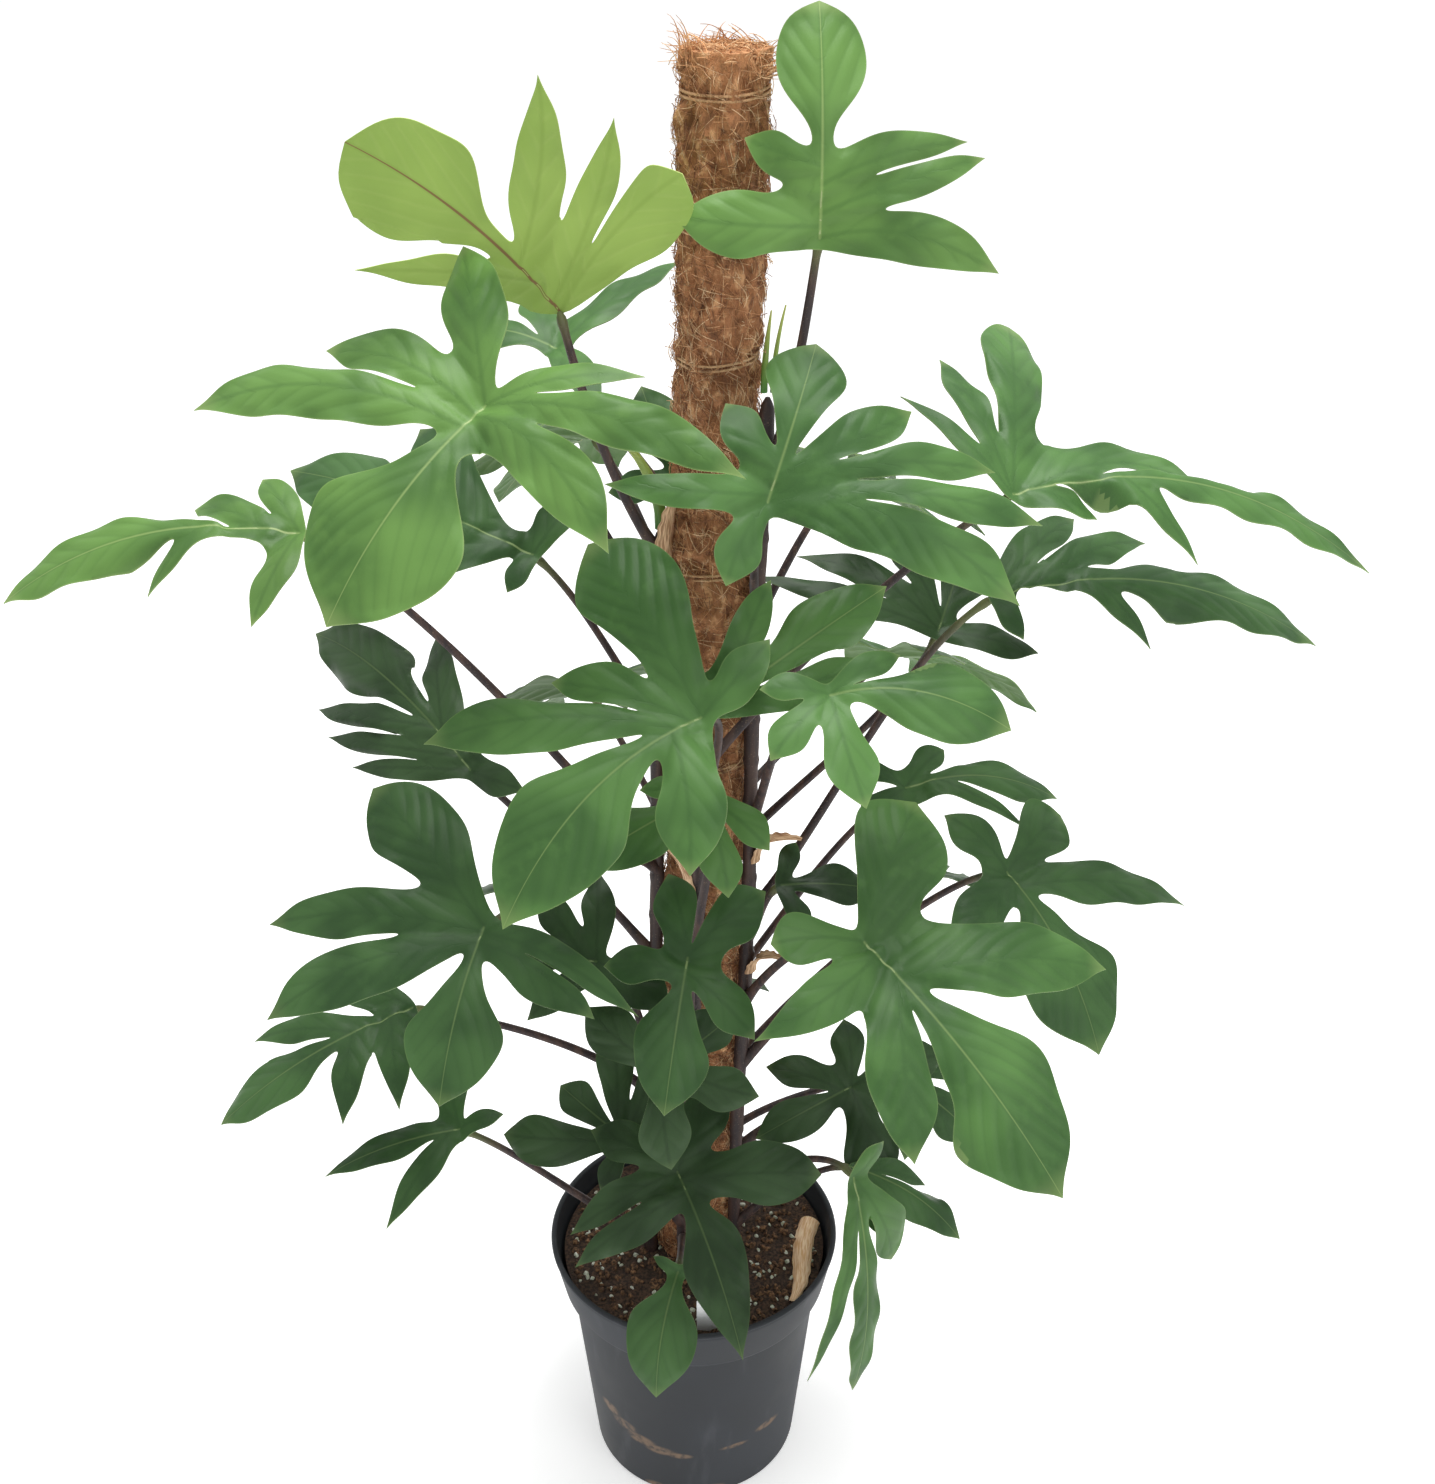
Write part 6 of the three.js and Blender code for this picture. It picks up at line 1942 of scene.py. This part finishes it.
    def twine(self) -> bpy.types.Object:
        """Makes the twine, wound twice round the sleeve at each level."""
        shell = Shell()
        turns = np.linspace(0, 4 * math.pi, 97)
        for order, level in enumerate(TWINE_LEVELS):
            z = level - self.twine_pitch / 2 + self.twine_pitch * turns / turns[-1]
            z += self.twine_sway * np.sin(turns + order)
            radii = np.array([coir_surface(a, h) + self.twine_radius for a, h in zip(turns, z)])
            path = np.stack([pole_shift(level) + radii * np.cos(turns), radii * np.sin(turns), z], 1)
            shell.add_tube(path, np.full(len(path), self.twine_radius), 6, 0.5)
        return shell.piece("pole_twine", sharp=80)


@dataclass
class NurseryPot:
    """The round pot with its stepped collar, rolled rim and drain holes.

    Its steps, lip and rolls are given as how far out and up they lie from the radius and level there.
    """

    segments: int = 160
    rim_radius: float = 120
    collar_radius: float = 112
    collar_height: float = 42
    body_radius: float = 104
    foot_radius: float = 88
    foot_round: float = 5
    wall: float = 2.4
    core: float = 0.05
    step_out: tuple[tuple[float, float], ...] = ((0, -9), (0.6, -6))
    step_in: tuple[tuple[float, float], ...] = ((-1.4, -1.5), (0, 1.5))
    lip: tuple[tuple[float, float], ...] = ((-1.6, -8), (-0.8, -5.4))
    rolls: tuple[tuple[float, ...], ...] = ((-1.9, 1.9, -60, 30), (-2.6, 2.2, 60, 175))
    roll_drop: float = 2.2
    inner_step: tuple[tuple[float, float], ...] = ((0, 1), (-1.2, -2))
    inner_drop: float = 8
    drains: int = 8
    drain_radius: float = 6
    drain_circle: float = 68
    sharp: float = 32

    def profile(self) -> Array:
        """Returns the wall's closed section, as radius and height, up the outside and down the inside."""
        collar = POT_HEIGHT - self.collar_height
        rim, wall, flat_foot = self.rim_radius, self.wall, self.foot_radius - self.foot_round

        def arc(centre: tuple[float, float], radius: float, start: float, end: float) -> list[Array]:
            """Returns points on an arc between two angles in degrees."""
            return [centre + radius * heading(a) for a in np.radians(np.linspace(start, end, 7))]

        outside = [[self.core, 0], [flat_foot, 0]]
        outside += arc((flat_foot, self.foot_round), self.foot_round, -80, -5)
        for radius, height, places in (
            (self.body_radius, collar, self.step_out), (self.collar_radius, collar, self.step_in),
            (rim, POT_HEIGHT, self.lip),
        ):
            outside += [[radius + out, height + up] for out, up in places]
        for out, radius, start, end in self.rolls:
            outside += arc((rim + out, POT_HEIGHT - self.roll_drop), radius, start, end)
        inside = [[self.collar_radius - wall + out, collar + up] for out, up in self.inner_step]
        inside += [[self.body_radius - wall, collar - self.inner_drop],
                   [self.foot_radius - wall, self.foot_round], [self.core, wall]]
        return np.array(outside + inside)

    def build(self) -> None:
        """Makes the pot as a turned shell, then cuts its drain holes."""
        shell = Shell()
        shell.add_rings([circle(radius, z, self.segments) for radius, z in self.profile()])
        piece = self.drilled(shell.piece("nursery_pot_shell", self.sharp))
        seat(piece, "pot", "pot", PotFinish().material())

    def drilled(self, piece: bpy.types.Object) -> bpy.types.Object:
        """Returns a new pot with the drain holes cut through its floor."""
        pins = Shell()
        for index in range(self.drains):
            foot = compass(360 * index / self.drains, self.drain_circle, -self.wall)
            path = np.linspace(foot, foot + [0, 0, 4 * self.wall], 2)
            pins.add_tube(path, np.full(2, self.drain_radius), 32)
        cutter = pins.piece("drain_pins")
        modifier = piece.modifiers.new("drains", "BOOLEAN")
        modifier.operation = "DIFFERENCE"
        modifier.solver = "EXACT"
        modifier.object = cutter
        mesh = worked_out(piece)
        mesh.set_sharp_from_angle(angle=math.radians(self.sharp))
        for spent in (piece, cutter):
            bpy.data.objects.remove(spent)
        return link("nursery_pot", mesh)


@dataclass
class PottedSoil:
    """The soil: a lumpy surface under crumbs of bark and white perlite."""

    rings: int = 60
    segments: int = 150
    radius: float = 109.5
    mound: float = 6
    lump_width: float = 16
    lumps: tuple[float, float] = (2.6, 1.3)
    crumbs: Grains = Grains(15000, 3.1, 0.8, 21)
    perlite: Grains = Grains(8000, 2.0, 0.9, 22)

    def top(self, radius: float, angle: float) -> float:
        """Returns the surface's height at a radius and angle."""
        share = radius / self.radius
        width, (large, small) = self.lump_width, self.lumps
        place = Vector((radius * math.cos(angle) / width, radius * math.sin(angle) / width, 0.5))
        lumps = large * noise.noise(place) + small * noise.noise(place * 2.7)
        return SOIL_LEVEL + self.mound * (1 - share) + lumps * min(1, 6 * (1.02 - share))

    def build(self) -> None:
        """Makes the surface and strews it."""
        sides = [(84, 6), (101, 178), (self.radius - 1, SOIL_LEVEL - 6)]
        rings = [circle(radius, z, self.segments) for radius, z in sides]
        top_rings = []
        for radius in np.linspace(self.radius, 1.0, self.rings):
            heights = np.array([self.top(radius, angle) for angle in full_turn(self.segments)])
            top_rings.append(circle(radius, heights, self.segments))
        shell = Shell()
        shell.add_rings(rings + top_rings)
        earth = EarthFinish("soil_earth", "#2c201a", "#5e4737").material()
        seat(shell.piece("soil_bed", sharp=70), "soil", "soil", earth)
        crumbs = EarthFinish("soil_crumbs", "#3c2a20", "#957050").material()
        perlite = EarthFinish("perlite", "#b9bfa8", "#eef0e6", 0.8).material()
        for name, finish, grains in (
            ("soil_crumb", crumbs, self.crumbs), ("soil_perlite", perlite, self.perlite),
        ):
            strewn = grain_tree(name, finish, grains).result(name, self.host(top_rings))
            seat(strewn, "soil", "soil")

    def host(self, rings: list[Array]) -> bpy.types.Mesh:
        """Returns the open surface that grains are strewn on."""
        kept = rings[3:-12]
        return surface("soil_host", np.concatenate(kept), rings_faces(len(kept), self.segments)[:-2])


@dataclass
class Studio:
    """The white floor, the soft lights and the camera."""

    eye: Triple = (20, -1114, 1342)
    pitch: float = 29.9
    focal: float = 1800
    image_height: float = 1484
    sensor: float = 36
    floor_reach: float = 12.0
    floor_glow: float = 0.4
    sky: float = 0.68
    aim: Triple = (0, 0, 0.6)

    def build(self) -> None:
        """Sets up the floor, the sky, the lights and the camera."""
        white, reach = (1.0, 1.0, 1.0, 1.0), self.floor_reach
        mesh = bpy.data.meshes.new("floor")
        corners = [(-reach, -reach, 0), (reach, -reach, 0), (reach, reach, 0), (-reach, reach, 0)]
        mesh.from_pydata(corners, [], [(0, 1, 2, 3)])
        floor = link("floor", mesh)
        finish = ShaderTree("floor").dress(Base_Color=colour("#f6f6f6"), Roughness=0.9,
                                           Emission_Color=white, Emission_Strength=self.floor_glow)
        floor.data.materials.append(finish)
        world = bpy.data.worlds.new("studio")
        world.use_nodes = True
        sky = world.node_tree.nodes["Background"].inputs
        sky["Color"].default_value = white
        sky["Strength"].default_value = self.sky
        bpy.context.scene.world = world
        self.lamp("key", (0.1, 0.2, 3.5), self.aim, 2.2, 105)
        self.lamp("fill", (1.9, -2.1, 2.2), self.aim, 2.0, 16)
        camera = bpy.data.cameras.new("camera")
        camera.sensor_width = self.sensor
        camera.lens = self.focal / self.image_height * self.sensor
        camera.clip_end = 50
        eye = bpy.data.objects.new("camera", camera)
        eye.location = [value * MM for value in self.eye]
        eye.rotation_euler = (math.radians(90 - self.pitch), 0, 0)
        bpy.context.scene.collection.objects.link(eye)
        bpy.context.scene.camera = eye
        bpy.context.scene.view_settings.view_transform = "Standard"

    def lamp(self, name: str, place: Triple, aim: Triple, size: float, power: float) -> None:
        """Adds a soft area light that faces a point.

        Args:
            name: the light's name.
            place: where it is, in metres.
            aim: the point that it faces.
            size: its side in metres.
            power: its power in watts.
        """
        light = bpy.data.lights.new(name, "AREA")
        light.shape = "DISK"
        light.size = size
        light.energy = power
        lamp = bpy.data.objects.new(name, light)
        lamp.location = place
        lamp.rotation_euler = (Vector(aim) - Vector(place)).to_track_quat("-Z", "Y").to_euler()
        bpy.context.scene.collection.objects.link(lamp)


def main() -> None:
    """Builds the plant's pieces in order."""
    logging.basicConfig(level=logging.INFO, format="%(message)s")
    for part in (Studio(), NurseryPot(), PottedSoil(), PlantLabel(), CoirPole(), Stems(), Sheaths(),
                 Spears(), Foliage(BLADES)):
        log.info("building %s", type(part).__name__)
        part.build()


if __name__ == "__main__":
    main()
